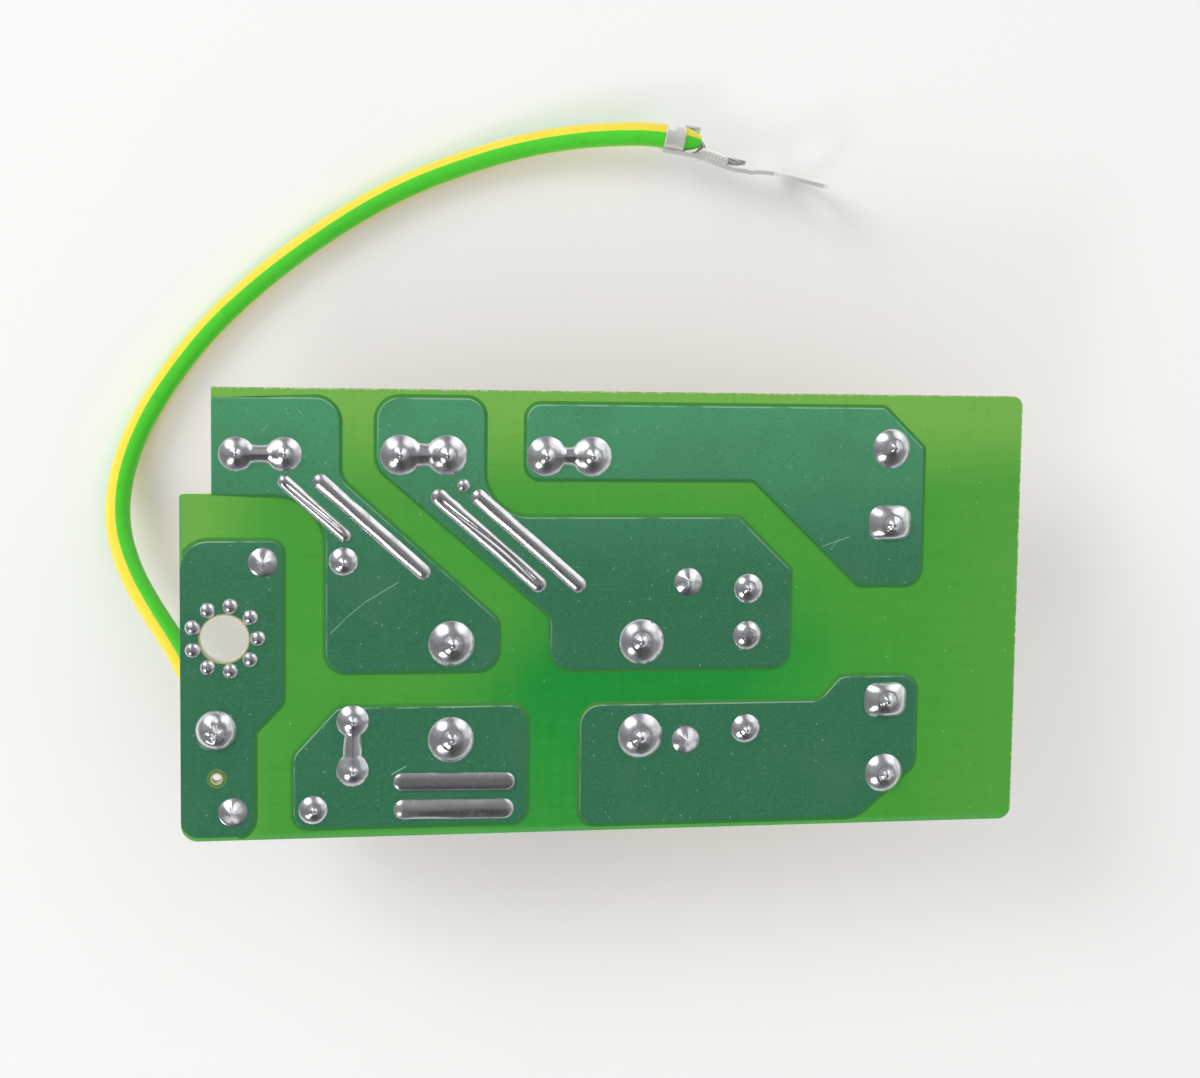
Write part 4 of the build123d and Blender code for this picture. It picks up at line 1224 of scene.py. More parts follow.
@dataclass
class RingTerminal:
    """Tinned ring terminal on its rim, crimped round the sheath and round the strands.

    Its own frame has x along the sheet, y across it and z along its width, in millimetres.
    A dent is its depth, its middle along the sheet and its reach.
    """

    origin: Vector = field(default_factory=lambda: Vector((8.45, 50.65, 3.638)) * MM)
    heading: float = math.radians(-11.7)
    lean: float = math.radians(9.5)
    sheet: float = 0.45
    half_width: float = 1.5
    bends: Tuple[Station, ...] = ((0.0, 0.0), (3.19, 0.26), (7.9, -0.26), (12.3, 0.42))
    lead_in: Station = (-3.19, -0.26)
    past_ring: float = 20.0
    bend_blur: Tuple[float, ...] = (-0.45, -0.2, 0.0, 0.2, 0.45)
    fold: Tuple[float, float, float] = (0.16, 9.9, 0.4)
    waists: Tuple[Tuple[float, float, float], ...] = ((0.28, 3.75, 0.7), (0.12, 10.6, 1.4))
    ring_at: float = 15.75
    ring_radius: float = 3.6
    ring_hole: float = 2.15
    ring_sides: int = 72
    hole_sides: int = 56
    tongue: Station = (-9.40, 14.1)
    cuts: int = 30
    cut_start: float = -16.1
    cut_step: float = 0.45
    rim_round: float = 0.09
    roll_round: float = 0.06
    sleeve_across: float = 1.615
    sleeve_radius: float = 1.54
    sleeve_wrap: float = math.radians(163)
    barrel_across: float = 0.555
    barrel_radius: float = 0.68
    barrel_lead: float = 1.5
    barrel_reach: Station = (1.15, 3.74)
    barrel_wrap: float = math.radians(177)
    barrel_seam: Station = (0.30, 0.10)
    barrel_mouth: Station = (0.07, 0.22)
    barrel_ribs: Station = (0.13, 0.40)
    barrel_flare: float = 0.28
    wall: float = 0.28
    strand_radius: float = 0.15
    strand_circle: float = 0.30
    strand_count: int = 7
    strand_sides: int = 10
    strand_lay: float = 7.5
    strands_cut: Station = (9.2, 0.80)
    metal: Finish = BrightMetal(
        "terminal_tin",
        (0.91, 0.905, 0.885),
        (0.70, 0.69, 0.66),
        0.28,
        0.9,
        0.012,
        metallic=0.55,
    )
    bare: Finish = BrightMetal(
        "tinned_strand", (0.72, 0.71, 0.69), (0.42, 0.38, 0.34), 0.30, 0.4, 0.01
    )

    def place(self) -> Matrix:
        """Where the terminal's own frame stands."""
        turn = Matrix.Rotation(self.heading, 4, "Z") @ Matrix.Rotation(self.lean, 4, "X")
        return Matrix.Translation(self.origin) @ turn

    def beside(self, run: int, reach: Value, across: Value) -> np.ndarray:
        """Places in millimetres beside one of the sheet's runs.

        Args:
            run: number of the run.
            reach: distance along it.
            across: distance to its open side.

        Returns:
            x and y, stacked along the last axis.
        """
        start, stop = np.array(self.bends[run]), np.array(self.bends[run + 1])
        ahead = (stop - start) / np.linalg.norm(stop - start)
        aside = np.array([-ahead[1], ahead[0]])
        reach, across = np.asarray(reach)[..., None], np.asarray(across)[..., None]
        return start + reach * ahead + across * aside

    def build(self) -> List[bpy.types.Object]:
        """Makes the terminal and the strands, and returns them."""
        parts = [self.make_sheet(), self.make_sleeve(), self.make_barrel()]
        terminal = Bench.join("crimped_ring_terminal", parts)
        terminal.data.transform(self.place())
        Bench.smooth(terminal)
        dress(terminal, self.metal, "terminal_metal", "ring_terminal")
        strands = self.make_strands()
        dress(strands, self.bare, "bare_conductor", "ground_wire_core_terminal_end")
        return [terminal, strands]

    def make_sheet(self) -> bpy.types.Object:
        """Ring and tongue cut from one sheet, then bent with a pinch before the ring."""
        Bench.clear()
        discs = []
        for sides, radius, depth in (
            (self.ring_sides, self.ring_radius, self.sheet),
            (self.hole_sides, self.ring_hole, 2 * self.sheet),
        ):
            bpy.ops.mesh.primitive_cylinder_add(
                vertices=sides, radius=radius, depth=depth, rotation=(math.pi / 2, 0, 0)
            )
            discs.append(bpy.context.active_object)
        ring, hole = discs
        Bench.clear()
        middle, length = self.tongue
        bpy.ops.mesh.primitive_cube_add(size=1, location=(middle, 0, 0))
        tongue = bpy.context.active_object
        tongue.scale = (length, self.sheet, 2 * self.half_width)
        for piece in (ring, hole, tongue):
            Bench.settle(piece)
        Bench.modifier(ring, "BOOLEAN", operation="UNION", object=tongue, solver="EXACT")
        Bench.modifier(ring, "BOOLEAN", operation="DIFFERENCE", object=hole, solver="EXACT")
        for piece in (hole, tongue):
            bpy.data.objects.remove(piece)
        with Bench.editing(ring):
            for step in range(self.cuts):
                cut = (self.cut_start + self.cut_step * step, 0, 0)
                bpy.ops.mesh.select_all(action="SELECT")
                bpy.ops.mesh.bisect(plane_co=cut, plane_no=(1, 0, 0))
        Bench.bevel(ring, self.rim_round, 3, 0.7)
        stations = np.array((self.lead_in, *self.bends, (self.past_ring, self.bends[-1][1])))

        def bent(places: np.ndarray) -> np.ndarray:
            """Follows the bends, narrows the waist and pinches the tongue."""
            x = places[:, 0] + self.ring_at
            lines = [np.interp(x + shift, *stations.T) for shift in self.bend_blur]
            depth, middle, reach = self.fold
            y = sum(lines) / len(lines) - depth * bell(x, middle, reach)
            waist = 1 - sum(depth * bell(x, middle, reach) for depth, middle, reach in self.waists)
            return np.stack([x, places[:, 1] + y, places[:, 2] * waist], axis=1) * MM

        Bench.reshape(ring, bent)
        return ring

    def wrap(
        self, name: str, counts: Tuple[int, int], run: int, across: float, form: Callable
    ) -> bpy.types.Object:
        """Sheet rolled round a line beside one of the runs, given its wall.

        Args:
            name: the piece's name.
            counts: squares along the line and round it.
            run: number of the run.
            across: distance of the line from the run.
            form: gives reach, radius and turn from u and v, each from -1 to 1.

        Returns:
            The rolled sheet, with softened edges.
        """

        def rolled(places: np.ndarray) -> np.ndarray:
            """Turn 0 lies on the sheet, and positive turns rise towards +z."""
            reach, radius, turn = form(places[:, 0], places[:, 1])
            flat = self.beside(run, reach, across - radius * np.cos(turn))
            return np.stack([flat[:, 0], flat[:, 1], radius * np.sin(turn)], axis=1) * MM

        piece = Bench.grid(name, *counts, rolled)
        Bench.modifier(piece, "SOLIDIFY", thickness=self.wall * MM, offset=0, use_even_offset=True)
        Bench.bevel(piece, self.roll_round * MM, 2, 0.9)
        return piece

    def make_sleeve(self) -> bpy.types.Object:
        """Two wings folded round the sheath, the lower one longer."""

        def form(u: np.ndarray, v: np.ndarray) -> Tuple[np.ndarray, ...]:
            """Wings of unequal reach, pulled in a little at their tips."""
            turn = v * self.sleeve_wrap
            longer = np.clip(-v * 3 - 0.4, 0, 1)
            start = -0.62 + 0.25 * longer + 0.08 * v**4
            stop = 1.65 + 2.1 * longer - 0.15 * np.abs(v) ** 6
            reach = start + (stop - start) * (u + 1) / 2
            radius = self.sleeve_radius - 0.03 * np.cos(math.pi * u) - 0.05 * np.abs(v) ** 8
            return reach, radius, turn

        return self.wrap("sleeve_wings", (14, 56), 0, self.sleeve_across, form)

    def make_barrel(self) -> bpy.types.Object:
        """Rolled crimp with bell mouths, a seam on its open side and pressed ribs."""

        def form(u: np.ndarray, v: np.ndarray) -> Tuple[np.ndarray, ...]:
            """Edges turn inwards at the seam, and ribs run round the closed side."""
            start, stop = self.barrel_reach[0] - self.barrel_lead, self.barrel_reach[1]
            reach = start + (stop - start) * (u + 1) / 2
            grown = ease(np.clip((reach - start) / (self.barrel_lead + 0.2), 0, 1))
            turn = v * self.barrel_wrap * (0.34 + 0.66 * grown)
            depth, width = self.barrel_seam
            radius = self.barrel_radius - depth * bell(np.abs(v), 1, width) * grown
            lift, width = self.barrel_mouth
            radius += lift * (np.exp(-(reach - start) / width) + np.exp(-(stop - reach) / width))
            depth, pitch = self.barrel_ribs
            ribs = 0.5 + 0.5 * np.cos(2 * math.pi * (reach - start) / pitch)
            radius -= depth * ribs * np.clip((0.70 - np.abs(v)) * 6, 0, 1) * grown
            return reach, radius + self.barrel_flare * (1 - grown), turn

        return self.wrap("barrel", (90, 52), 1, self.barrel_across, form)

    def make_strands(self) -> bpy.types.Object:
        """Seven twisted strands from the sheath through the barrel to their cut ends."""
        flat = [
            self.beside(0, 2.9, self.sleeve_across),
            self.beside(0, 3.6, self.sleeve_across),
            self.beside(1, 1.1, self.barrel_across),
            self.beside(1, 1.6, self.barrel_across),
            self.beside(1, self.barrel_reach[1], self.barrel_across),
            np.array(self.strands_cut),
        ]
        place = self.place()
        points = [place @ (Vector((*point, 0)) * MM) for point in flat]
        path = Bench.line("strand_line", points)
        run = travelled(path) / MM
        up = Vector((0, 0, 1))
        lift, side = Bench.carried(path, up)
        strands = []
        for index in range(self.strand_count):
            is_core = index == self.strand_count - 1
            turn = index * math.pi / 3 + run * 2 * math.pi / self.strand_lay
            loose = 1 - 0.35 * np.clip(run - run[-1] + 1.6, 0, 1)
            circle = loose * (0 if is_core else self.strand_circle) * MM
            offset = lift * (np.cos(turn) * circle)[:, None]
            offset += side * (np.sin(turn) * circle)[:, None]
            strand = (path + offset)[: len(path) - 2 * (index % 3)]
            radius = self.strand_radius * MM
            strands.append(Bench.tube(f"strand_{index}", strand, radius, self.strand_sides, up))
        return Bench.join("bare_strands", strands)


# ---------------------------------------------------------------- board
@dataclass
class Board:
    """Laminate with its mask, and the copper pours."""

    edge_round: float = 0.10 * MM
    pour_round: float = 0.09 * MM
    screw_pullback: float = 0.14 * MM
    spare_pullback: float = 0.53 * MM
    foot_reach: float = 0.66 * MM
    foot_shares: Tuple[float, ...] = (1.0, 0.6, 0.3, 0.0)
    hole_room: float = 0.9 * MM
    probe: float = 0.45 * MM
    probe_past: float = 0.12 * MM
    spare_at: Station = (3.65 * MM, 6.55 * MM)
    spare_radius: float = 0.47 * MM
    # Direction of the light across the board, which picks the rims with painted highlight and shade
    lit_from: Tuple[float, float] = (-0.30, 0.95)
    nets: Tuple[str, ...] = (
        "neutral_in",
        "neutral_out",
        "live_out",
        "live_in",
        "live_fused",
        "ground",
    )

    def build(self, frame: dict) -> None:
        """Rounds the edges of the laminate and the pours, and coats them."""
        low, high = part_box("board_laminate")
        laminate = Bench.from_node(frame, "board_laminate", "laminate")
        self.round_off(laminate, self.edge_round)
        coat = CoatedLaminate("coated_laminate", low, high)
        dress(laminate, coat, "coated_laminate", "board_laminate")
        screw, spare = self.open_holes(frame)
        bed = BVHTree.FromObject(laminate, bpy.context.evaluated_depsgraph_get())
        pour_low, pour_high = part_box("copper_ground")
        finish = MaskedCopper(
            "masked_copper",
            pour_high.z,
            screw.wider(self.screw_pullback),
            spare.wider(self.spare_pullback),
        )
        for net in self.nets:
            pour = Bench.from_node(frame, f"copper_{net}", f"pour_{net}")
            self.round_off(pour, self.pour_round)
            self.spread_foot(pour, pour_low.z, pour_high.z, (screw, spare), bed)
            Bench.smooth(pour, 60, True)
            dress(pour, finish, "masked_copper", f"copper_{net}")

    @staticmethod
    def round_off(piece: bpy.types.Object, width: float) -> None:
        """Rounds the sharp edges by a small width."""
        Bench.bevel(piece, width, 2, math.radians(50))
        Bench.smooth(piece, 50, True)

    def spread_foot(
        self,
        pour: bpy.types.Object,
        foot: float,
        face: float,
        holes: Sequence[Hole],
        bed: BVHTree,
    ) -> None:
        """Lets the mask run out from the pour's rim in a soft slope, but not into open holes.

        Rims that face the light are marked, for the painted highlight and painted shade on them.

        Args:
            pour: the pour.
            foot: height of its underside in metres.
            face: height of its face in metres.
            holes: the open holes.
            bed: the laminate, which the slope doesn't leave.
        """
        aside = triples(pour.data.vertex_normals, "vector")[:, :2]
        length = np.linalg.norm(aside, axis=1)
        aside = aside / np.maximum(length, 1e-6)[:, None]
        met = (aside @ np.array(self.lit_from)).clip(0, 1) * (length > 0.02)
        lit_rim = pour.data.attributes.new("lit_rim", "FLOAT", "POINT")
        lit_rim.data.foreach_set("value", met.astype(np.float32))

        def carried(x: float, y: float) -> bool:
            """True where there is laminate under a place."""
            hit, _, _, away = bed.ray_cast(Vector((x, y, face + MM)), Vector((0, 0, -1)))
            return hit is not None and away < 2 * MM

        def run_out(places: np.ndarray) -> np.ndarray:
            """Moves a vertex outwards by its depth below the face."""
            depth = np.clip((face - places[:, 2]) / (face - foot), 0, 1)
            reach = self.foot_reach * depth**2.0 * (length > 0.3)
            for hole in holes:
                away = np.hypot(places[:, 0] - hole.centre.x, places[:, 1] - hole.centre.y)
                reach = reach * (away > hole.radius + self.hole_room)
            for index in np.nonzero(reach)[0]:
                for share in self.foot_shares:
                    x, y = aside[index] * (reach[index] * share + self.probe_past)
                    beside = ((x, self.probe), (x, -self.probe), (self.probe, y), (-self.probe, y))
                    if all(carried(*(places[index, :2] + offset)) for offset in beside):
                        break
                reach[index] *= share
            moved = places.copy()
            moved[:, :2] += aside * reach[:, None]
            return moved

        Bench.reshape(pour, run_out)

    def open_holes(self, frame: dict) -> Tuple[Hole, Hole]:
        """The screw hole, from the record's mount, and the spare hole near the corner."""
        mounts = {mount["name"]: mount for mount in frame["record"]["mounts"]}
        screw = mounts["screw_hole"]
        centre = Vector(screw["pos_m"])
        low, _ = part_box("board_laminate")
        spare = Vector((low.x + self.spare_at[0], low.y + self.spare_at[1], centre.z))
        return Hole(centre, screw["dims"]["r_mm"] * MM), Hole(spare, self.spare_radius)


# ---------------------------------------------------------------- solder
class JointForm(Enum):
    """Form of a solder joint: its angle at the copper in degrees, and its nub as a share."""

    DOME = (46.0, 0.13)
    CONE = (38.0, 0.0)
    BLANK = (50.0, 0.0)
    BEAD = (58.0, 0.0)
    LUMP = (56.0, 0.12)


class BarForm(Enum):
    """Crown of a tinned bar: its two powers, its groove's depth and the size of its lumps."""

    CROWNED = (1.9, 1.0, 0.0, 0.10)
    GROOVED = (2.2, 0.9, 0.42, 0.10)
    LEVEL = (4.0, 0.65, 0.0, 0.05)
    LUMPY = (2.0, 0.90, 0.0, 0.18)


@dataclass
class SolderJoints:
    """Every joint, bead and tinned bar, remade with smooth, slightly uneven forms.

    Shares are of a joint's radius, a bar's half width or the room under a solid's top.
    """

    steps: int = 48
    rows: int = 40
    row_crowding: float = 0.9
    cone_rise: float = 0.78
    cone_blunt: float = 0.12
    cone_power: float = 1.2
    tip: Station = (0.20, 2.4)
    tip_ring: Tuple[float, float, float] = (0.009, 0.42, 0.05)
    wave_counts: Tuple[int, ...] = (1, 2, 3, 5, 7)
    roughness: Dict[JointForm, float] = field(
        default_factory=lambda: {JointForm.LUMP: 0.012, JointForm.CONE: 0.02}
    )
    smooth_roughness: float = 0.006
    clod_size: Station = (0.38 * MM, 0.31 * MM)
    clod_depth: float = 0.16
    slide: float = 0.07
    square_from: float = 0.2 * MM
    square_power: float = 3.0
    square_share: float = 0.93
    tab_angle: float = math.radians(24)
    tab_room: float = 0.85
    tab_nub: float = 0.16
    tab_grid: Tuple[int, int] = (120, 34)
    neck_rise: float = 0.56
    neck_sway: Station = (0.05, 1.7)
    keel: Station = (0.10, 0.22)
    bar_grid: Tuple[int, int] = (110, 26)
    bar_level: float = 0.88
    groove_width: float = 0.20
    groove_sway: Tuple[float, float, float] = (0.05, 0.24, 2.9)
    bar_waves: Tuple[Station, ...] = ((1.0, 1.9), (0.7, 0.85))
    bar_leans: Tuple[Station, ...] = ((1.0, 2.7), (0.6, 1.2))
    slot: str = "solder"
    finish: Finish = BrightMetal(
        "bright_solder", (0.83, 0.84, 0.87), (0.50, 0.49, 0.52), 0.16, 0.7, 0.012
    )
    dull: Finish = BrightMetal(
        "tinned_bar", (0.80, 0.80, 0.82), (0.48, 0.47, 0.50), 0.20, 0.6, 0.016
    )
    forms: Dict[str, Tuple[JointForm, ...]] = field(
        default_factory=lambda: {
            "solder_choke": (JointForm.DOME,),
            "solder_fuse_clip_front": (JointForm.DOME,),
            "solder_fuse_clip_rear": (JointForm.DOME,),
            "solder_x_capacitor": (JointForm.DOME,),
            "solder_resistor": (JointForm.CONE,),
            "solder_y_capacitor_neutral": (JointForm.CONE, JointForm.DOME),
            "solder_y_capacitor_live": (JointForm.CONE, JointForm.DOME),
            "solder_ground_wire": (JointForm.LUMP,),
            "solder_spot": (JointForm.BEAD,),
            "solder_ring_beads": (JointForm.BEAD,),
        }
    )
    necks: Dict[str, float] = field(
        default_factory=lambda: {
            "neutral_in": 0.98 * MM,
            "neutral_out": 1.18 * MM,
            "live_out": 1.02 * MM,
            "live_in": 0.92 * MM,
        }
    )
    bars: Dict[str, Tuple[BarForm, ...]] = field(
        default_factory=lambda: {
            "neutral_in": (BarForm.GROOVED, BarForm.CROWNED),
            "neutral_out": (BarForm.GROOVED, BarForm.CROWNED),
            "live_in": (BarForm.LEVEL, BarForm.LUMPY),
        }
    )

    def build(self, frame: dict) -> None:
        """Remakes each solder node."""
        for node, forms in self.forms.items():
            solids = sorted(islands(frame, node), key=lambda points: points[:, 0].mean())
            joints = []
            for index, points in enumerate(solids):
                form = forms[min(index, len(forms) - 1)]
                if node == "solder_x_capacitor" and self.is_empty(points, solids):
                    form = JointForm.BLANK
                joints.append(self.joint(f"{node}_{index}", points, form))
            self.finish_set(node, node.replace("solder", "joint"), joints, self.finish)
        for net, neck in self.necks.items():
            node = f"solder_tab_{net}"
            dress(self.dumbbell(node, neck), self.finish, self.slot, node)
        for net, forms in self.bars.items():
            node = f"solder_bars_{net}"
            solids = sorted(
                islands(frame, node), key=lambda points: points[:, 0].mean() - points[:, 1].mean()
            )
            bars = [
                self.bar(f"{node}_{index}", points, forms[min(index, len(forms) - 1)])
                for index, points in enumerate(solids)
            ]
            self.finish_set(node, node.replace("solder_bars", "tinned_bars"), bars, self.dull)

    @staticmethod
    def is_empty(points: np.ndarray, solids: Sequence[np.ndarray]) -> bool:
        """True for the middle one of a capacitor's three joints, whose hole holds no lead."""
        by_depth = sorted(solids, key=lambda part: part[:, 1].mean())
        return len(solids) == 3 and by_depth[1] is points

    def finish_set(
        self, node: str, name: str, pieces: Sequence[bpy.types.Object], finish: Finish
    ) -> None:
        """Joins the pieces of one solder node, smooths them and gives them their finish.

        Args:
            node: the CAD node's name.
            name: the joined piece's name.
            pieces: its pieces.
            finish: their finish.
        """
        whole = Bench.join(name, pieces)
        Bench.smooth(whole, 60)
        dress(whole, finish, self.slot, node)

    @staticmethod
    def cap(away: np.ndarray, radius: float, height: float) -> np.ndarray:
        """Height of a round cap at a distance from its middle, 0 outside it."""
        ball = (radius**2 + height**2) / (2 * height)
        inside = np.sqrt(np.maximum(ball**2 - np.minimum(away, radius) ** 2, 0))
        return np.maximum(inside - (ball - height), 0)

    def nub(self, away: np.ndarray, radius: float, height: float) -> np.ndarray:
        """Height that the end of a lead adds under the solder, with a faint ring round it."""
        share = away / radius
        reach, power = self.tip
        depth, middle, width = self.tip_ring
        tip = height * np.exp(-((share / reach) ** power))
        return tip - depth * radius * bell(share, middle, width)

    def joint(self, name: str, points: np.ndarray, form: JointForm) -> bpy.types.Object:
        """One joint in the room of its CAD solid.

        Args:
            name: the piece's name.
            points: corner points of the CAD solid.
            form: its form.

        Returns:
            The joint, standing on the copper.
        """
        low, high = span(points)
        centre = (low + high) / 2
        half = (high - low) / 2
        radius = float(np.hypot(points[:, 0] - centre.x, points[:, 1] - centre.y).max())
        oblong = abs(half.x - half.y) > self.square_from
        angle, share = form.value
        room = high.z - low.z
        top = min(radius * math.tan(math.radians(angle) / 2), room * (1 - share * 0.4))
        away = np.linspace(0, 1, self.rows) ** self.row_crowding * radius
        if form is JointForm.CONE:
            blunt = self.cone_blunt
            point = np.sqrt((away / radius) ** 2 + blunt**2)
            slant = np.clip((1 - point) / (1 - blunt), 0, 1)
            rise = self.cone_rise * room * slant**self.cone_power
        else:
            rise = self.cap(away, radius, top)
            rise = rise + self.nub(away, radius, min(room - top, share * radius))
        rise[-1] = 0
        stations = [(float(far), float(high)) for far, high in zip(away, rise)]
        piece = Bench.turned(name, [*stations, (0.0, 0.0)], self.steps)
        seed = abs(int(centre.x * 1e6) * 31 + int(centre.y * 1e6))
        random = np.random.default_rng(seed)
        rough = self.roughness.get(form, self.smooth_roughness)
        lumps = self.clod_depth if form is JointForm.LUMP else 0.0
        waves = [
            (count, random.uniform(0, 2 * math.pi), random.uniform(0.3, 1.0) * rough)
            for count in self.wave_counts
        ]
        slide = random.uniform(-self.slide, self.slide, 2) * radius

        def uneven(places: np.ndarray) -> np.ndarray:
            """Slides the crown aside, waves the wall and squares an oblong foot."""
            turn = np.arctan2(places[:, 1], places[:, 0])
            share = np.hypot(places[:, 0], places[:, 1]) / radius
            belly = 4 * share * (1 - share)
            ripple = sum(depth * np.cos(count * turn + phase) for count, phase, depth in waves)
            clods = np.sin(places[:, 0] / self.clod_size[0])
            clods = clods * np.cos(places[:, 1] / self.clod_size[1] + 1)
            clods = clods * np.clip(0.9 - places[:, 0] / radius, 0, 1) * (1 - share).clip(0, 1)
            moved = places.copy()
            moved[:, 2] *= 1 + ripple * belly * 2.5 + lumps * clods
            moved[:, :2] += slide * np.clip(1 - share**2, 0, 1)[:, None]
            if oblong:
                power, waist = self.square_power, radius * self.square_share
                to_side = np.abs(np.cos(turn) / half.x) ** power
                to_end = np.abs(np.sin(turn) / half.y) ** power
                edge = (to_side + to_end) ** (-1 / power)
                mixed = waist + (edge - waist) * share**2
                moved[:, :2] *= (mixed / radius)[:, None]
            return moved

        Bench.reshape(piece, uneven)
        piece.data.transform(Matrix.Translation((centre.x, centre.y, low.z)))
        return piece

    def dumbbell(self, node: str, neck: float) -> bpy.types.Object:
        """Joint over both legs of a tab: two domes melted into a neck.

        Args:
            node: the CAD node's name.
            neck: half the width of the neck in metres.

        Returns:
            The joint, standing on the copper.
        """
        low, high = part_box(node)
        size, centre = high - low, (low + high) / 2
        along = 0 if size.x > size.y else 1
        radius, reach = size[1 - along] / 2, size[along] / 2
        legs = reach - radius
        top = min(radius * math.tan(self.tab_angle), size.z * self.tab_room)
        nub = min(size.z - top, self.tab_nub * radius)
        phase = (centre.x + centre.y) / MM

        def melted(places: np.ndarray) -> np.ndarray:
            """Lays the grid out between the joint's edges and lifts it."""
            x = (crowded(places[:, 0]) * 0.45 + places[:, 0] * 0.55) * reach
            over = np.abs(x) - legs
            wide = np.sqrt(np.maximum(radius**2 - over**2, 0)) * (over > -radius)
            fade = ease(np.clip(-over / (0.8 * radius), 0, 1))
            sway, rate = self.neck_sway
            waist = neck * fade * (1 + sway * np.sin(x / MM * rate + phase))
            half = (wide**4 + waist**4) ** (1 / 4)
            side = crowded(places[:, 1])
            y = side * half
            domes = top * np.clip(1 - (over / radius) ** 2, 0, 1)
            crest = (domes**3 + (self.neck_rise * neck * fade) ** 3) ** (1 / 3)
            keel = 1 + self.keel[0] * fade * bell(side, 0, self.keel[1])
            rise = crest * (1 - side**2) * keel + self.nub(np.hypot(over, y), radius, nub)
            rim = np.abs(places[:, 1]) > 1 - 1e-6
            rise = np.where(rim | (half < 1e-7), 0, np.minimum(rise, size.z))
            return np.stack([x, y, rise], axis=1)

        piece = Bench.grid(node.replace("solder", "joint"), *self.tab_grid, melted)
        Bench.close_under(piece)
        turn = Matrix.Rotation(math.pi / 2 * along, 4, "Z")
        piece.data.transform(Matrix.Translation((centre.x, centre.y, low.z)) @ turn)
        Bench.smooth(piece, 60)
        return piece

    def bar(self, name: str, points: np.ndarray, form: BarForm) -> bpy.types.Object:
        """Tinned strip with a crowned top and a rounded rim.

        Args:
            name: the piece's name.
            points: corner points of the CAD solid.
            form: its crown.

        Returns:
            The strip, closed underneath.
        """
        low, high = span(points)
        middle = points[:, :2].mean(axis=0)
        spread = points[:, :2] - middle
        _, _, axes = np.linalg.svd(spread, full_matrices=False)
        if axes[0][0] + 0.2 * axes[0][1] < 0:
            axes[0] = -axes[0]
        axes[1] = (-axes[0][1], axes[0][0])
        length = np.ptp(spread @ axes[0])
        width = np.ptp(spread @ axes[1])
        height = high.z - low.z
        half_run = (length - width) / 2
        seed = abs(int(middle[0] * 1e6) * 17 + int(middle[1] * 1e6))
        phase = np.random.default_rng(seed).uniform(0, 6.28, 6)
        crown, shoulder, groove, lumps = form.value

        def strip(places: np.ndarray) -> np.ndarray:
            """Lays the grid out as a strip with round ends and lifts its crown."""
            x = (0.5 * crowded(places[:, 0]) + 0.5 * places[:, 0]) * length / 2
            over = (np.abs(x) - half_run).clip(0, width / 2)
            room = np.sqrt(np.maximum((width / 2) ** 2 - over**2, 0))
            side = crowded(places[:, 1])
            y = side * room
            from_rim = np.clip(np.hypot(over, y) / (width / 2), 0, 1)
            rise = (1 - from_rim**crown) ** shoulder
            mm = x / MM
            ends = np.clip((half_run - np.abs(x)) / (0.8 * MM), 0, 1)
            offset, sway, rate = self.groove_sway
            drift = offset + sway * np.sin(mm / rate + phase[4])
            rise = rise - groove * bell(side, drift, self.groove_width) * ends
            wave, lean = (
                sum(size * np.sin(mm / run + start) for (size, run), start in zip(runs, starts))
                for runs, starts in ((self.bar_waves, phase[:2]), (self.bar_leans, phase[2:4]))
            )
            rise = rise * (self.bar_level + lumps * (wave * 0.45 + lean * side * 0.5))
            rim = (np.abs(places[:, 1]) > 1 - 1e-6) | (np.abs(places[:, 0]) > 1 - 1e-6)
            return np.stack([x, y, np.where(rim, 0, height * rise.clip(0, 1))], axis=1)

        piece = Bench.grid(name, *self.bar_grid, strip)
        Bench.close_under(piece)
        turn = math.atan2(axes[0][1], axes[0][0])
        place = Matrix.Translation((*middle, low.z)) @ Matrix.Rotation(turn, 4, "Z")
        piece.data.transform(place)
        return piece


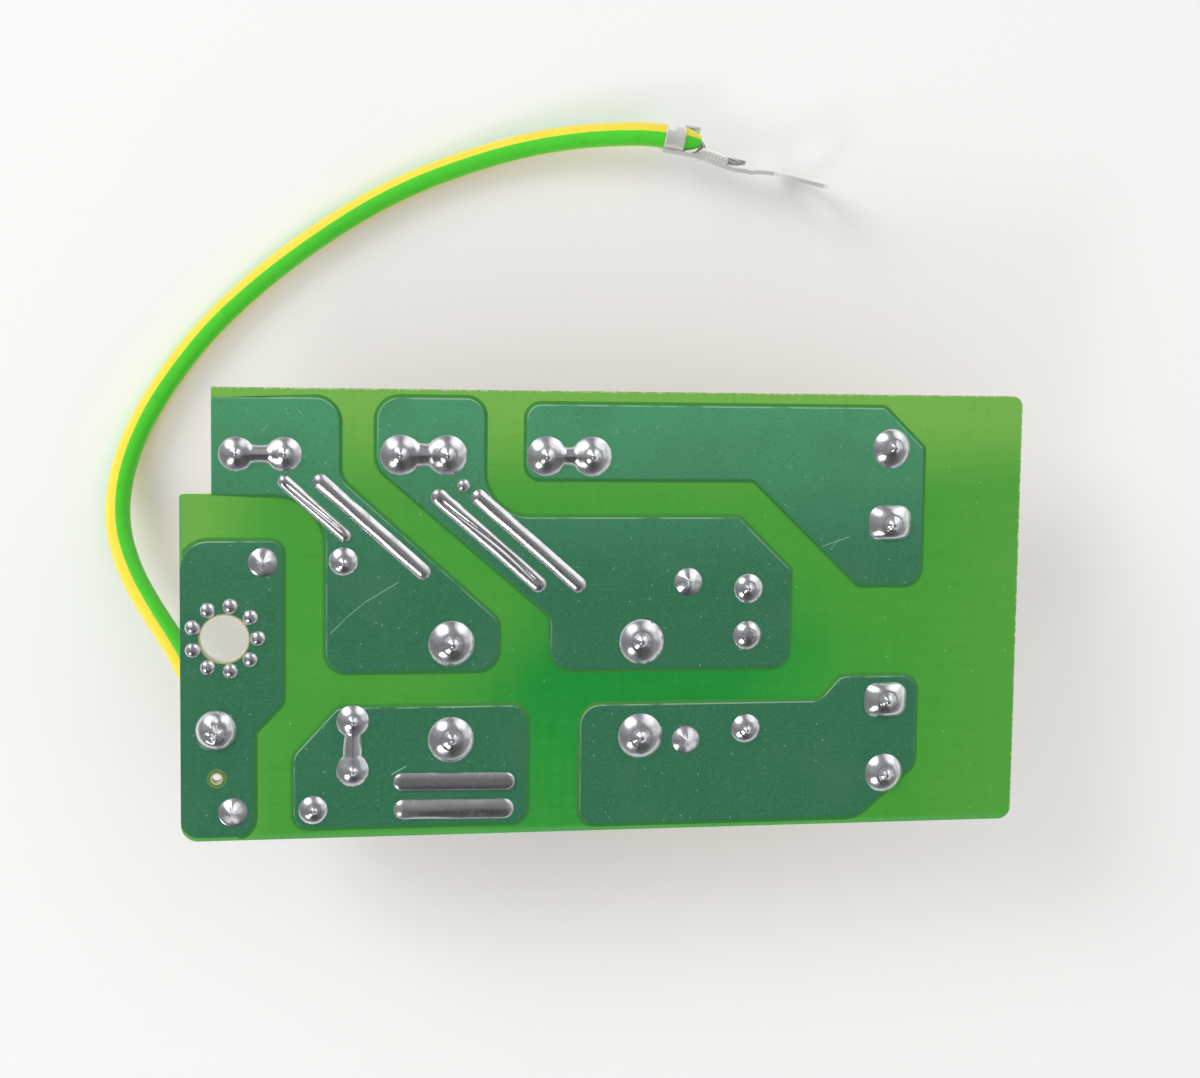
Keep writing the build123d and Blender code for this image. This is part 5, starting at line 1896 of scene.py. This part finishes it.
# ---------------------------------------------------------------- plain parts
@dataclass
class PlainParts:
    """Parts whose solids are right as they are: a rounded copy and a finish for each."""

    edge_angle: float = 50.0
    swell: float = 0.09

    def build(self, frame: dict) -> None:
        """Dresses tabs, clips, fuse, choke, capacitors, resistor and leads."""
        tin = BrightMetal("tin_plate", (0.80, 0.80, 0.79), (0.56, 0.54, 0.50), 0.26, 0.9, 0.008)
        spring = BrightMetal(
            "tinned_brass", (0.74, 0.72, 0.66), (0.52, 0.42, 0.26), 0.28, 1.2, 0.008
        )
        nickel = BrightMetal(
            "nickel_plate", (0.80, 0.79, 0.77), (0.55, 0.52, 0.47), 0.18, 1.5, 0.006
        )
        wire_tin = BrightMetal(
            "tinned_wire", (0.78, 0.78, 0.77), (0.5, 0.48, 0.46), 0.28, 0.4, 0.01
        )
        strand = BrightMetal(
            "bare_copper_end", (0.80, 0.76, 0.70), (0.6, 0.45, 0.34), 0.3, 0.4, 0.02
        )
        ceramic = Moulded("fuse_ceramic", (0.84, 0.81, 0.73), (0.70, 0.66, 0.57), 0.35, 0.3, 0.02)
        ferrite = Moulded(
            "core_coating", (0.035, 0.085, 0.055), (0.02, 0.05, 0.035), 0.4, 0.4, 0.05
        )
        black = Moulded("choke_plastic", (0.022, 0.022, 0.024), (0.05, 0.05, 0.05), 0.42, 0.3, 0.02)
        enamel = BrightMetal(
            "enamelled_copper", (0.72, 0.30, 0.11), (0.42, 0.14, 0.05), 0.22, 2.0, 0.01
        )
        yellow = Moulded("capacitor_case", (0.80, 0.60, 0.06), (0.70, 0.49, 0.04), 0.36, 0.5, 0.02)
        blue = Moulded("capacitor_epoxy", (0.03, 0.13, 0.42), (0.02, 0.08, 0.30), 0.24, 1.0, 0.06)
        plan: List[Tuple[str, Finish, str, float]] = [
            ("tab_neutral_in", tin, "tinned_tab", 0.10),
            ("tab_neutral_out", tin, "tinned_tab", 0.10),
            ("tab_live_out", tin, "tinned_tab", 0.10),
            ("tab_live_in", tin, "tinned_tab", 0.10),
            ("fuse_clip_front", spring, "clip_metal", 0.08),
            ("fuse_clip_rear", spring, "clip_metal", 0.08),
            ("fuse_tube", ceramic, "fuse_ceramic", 0.15),
            ("fuse_cap_front", nickel, "fuse_cap", 0.12),
            ("fuse_cap_rear", nickel, "fuse_cap", 0.12),
            ("choke_core", ferrite, "core_coating", 0.6),
            ("choke_base", black, "choke_plastic", 0.25),
            ("x_capacitor_case", yellow, "capacitor_case", 0.45),
            ("ground_wire_core_board_end", strand, "bare_conductor", 0.0),
        ]
        for node, finish, slot, rounding in plan:
            piece = Bench.from_node(frame, node, f"fine_{node}")
            if rounding:
                Board.round_off(piece, rounding * MM)
            Bench.smooth(piece, self.edge_angle, True)
            dress(piece, finish, slot, node)
        low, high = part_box("resistor_body")
        lacquer = BandedLacquer("resistor_coating", (low + high) / 2)
        rounded: List[Tuple[str, Finish, str, float]] = [
            ("choke_winding_neutral", enamel, "enamelled_copper", 0.5),
            ("choke_winding_live", enamel, "enamelled_copper", 0.5),
            ("x_capacitor_leads", wire_tin, "tinned_lead", 0.4),
            ("y_capacitor_neutral_body", blue, "capacitor_epoxy", 0.3),
            ("y_capacitor_live_body", blue, "capacitor_epoxy", 0.3),
            ("y_capacitor_neutral_leads", wire_tin, "tinned_lead", 0.33),
            ("y_capacitor_live_leads", wire_tin, "tinned_lead", 0.33),
            ("resistor_leads", wire_tin, "tinned_lead", 0.35),
            ("resistor_body", lacquer, "resistor_coating", 0.6),
        ]
        for node, finish, slot, radius in rounded:
            dress(self.rounded(frame, node, radius * MM), finish, slot, node)

    def rounded(self, frame: dict, node: str, radius: float) -> bpy.types.Object:
        """Flat-sided part made round, swollen first by what the rounding takes off.

        Args:
            frame: the loaded frame.
            node: the CAD node's name.
            radius: radius of its section in metres.

        Returns:
            The rounded copy.
        """
        piece = Bench.from_node(frame, node, f"round_{node}", False)
        outwards = triples(piece.data.vertex_normals, "vector")
        Bench.reshape(piece, lambda places: places + outwards * radius * self.swell)
        Bench.modifier(piece, "SUBSURF", levels=2, render_levels=2)
        Bench.smooth(piece, 60)
        return piece


def main() -> None:
    """Builds the studio, the wire and every piece of the board."""
    logging.basicConfig(level=logging.INFO, format="%(name)s: %(message)s")
    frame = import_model()
    Studio().build()
    GroundWire().build(RingTerminal().build())
    Board().build(frame)
    SolderJoints().build(frame)
    PlainParts().build(frame)
    Bench.clear()


if __name__ == "__main__":
    main()
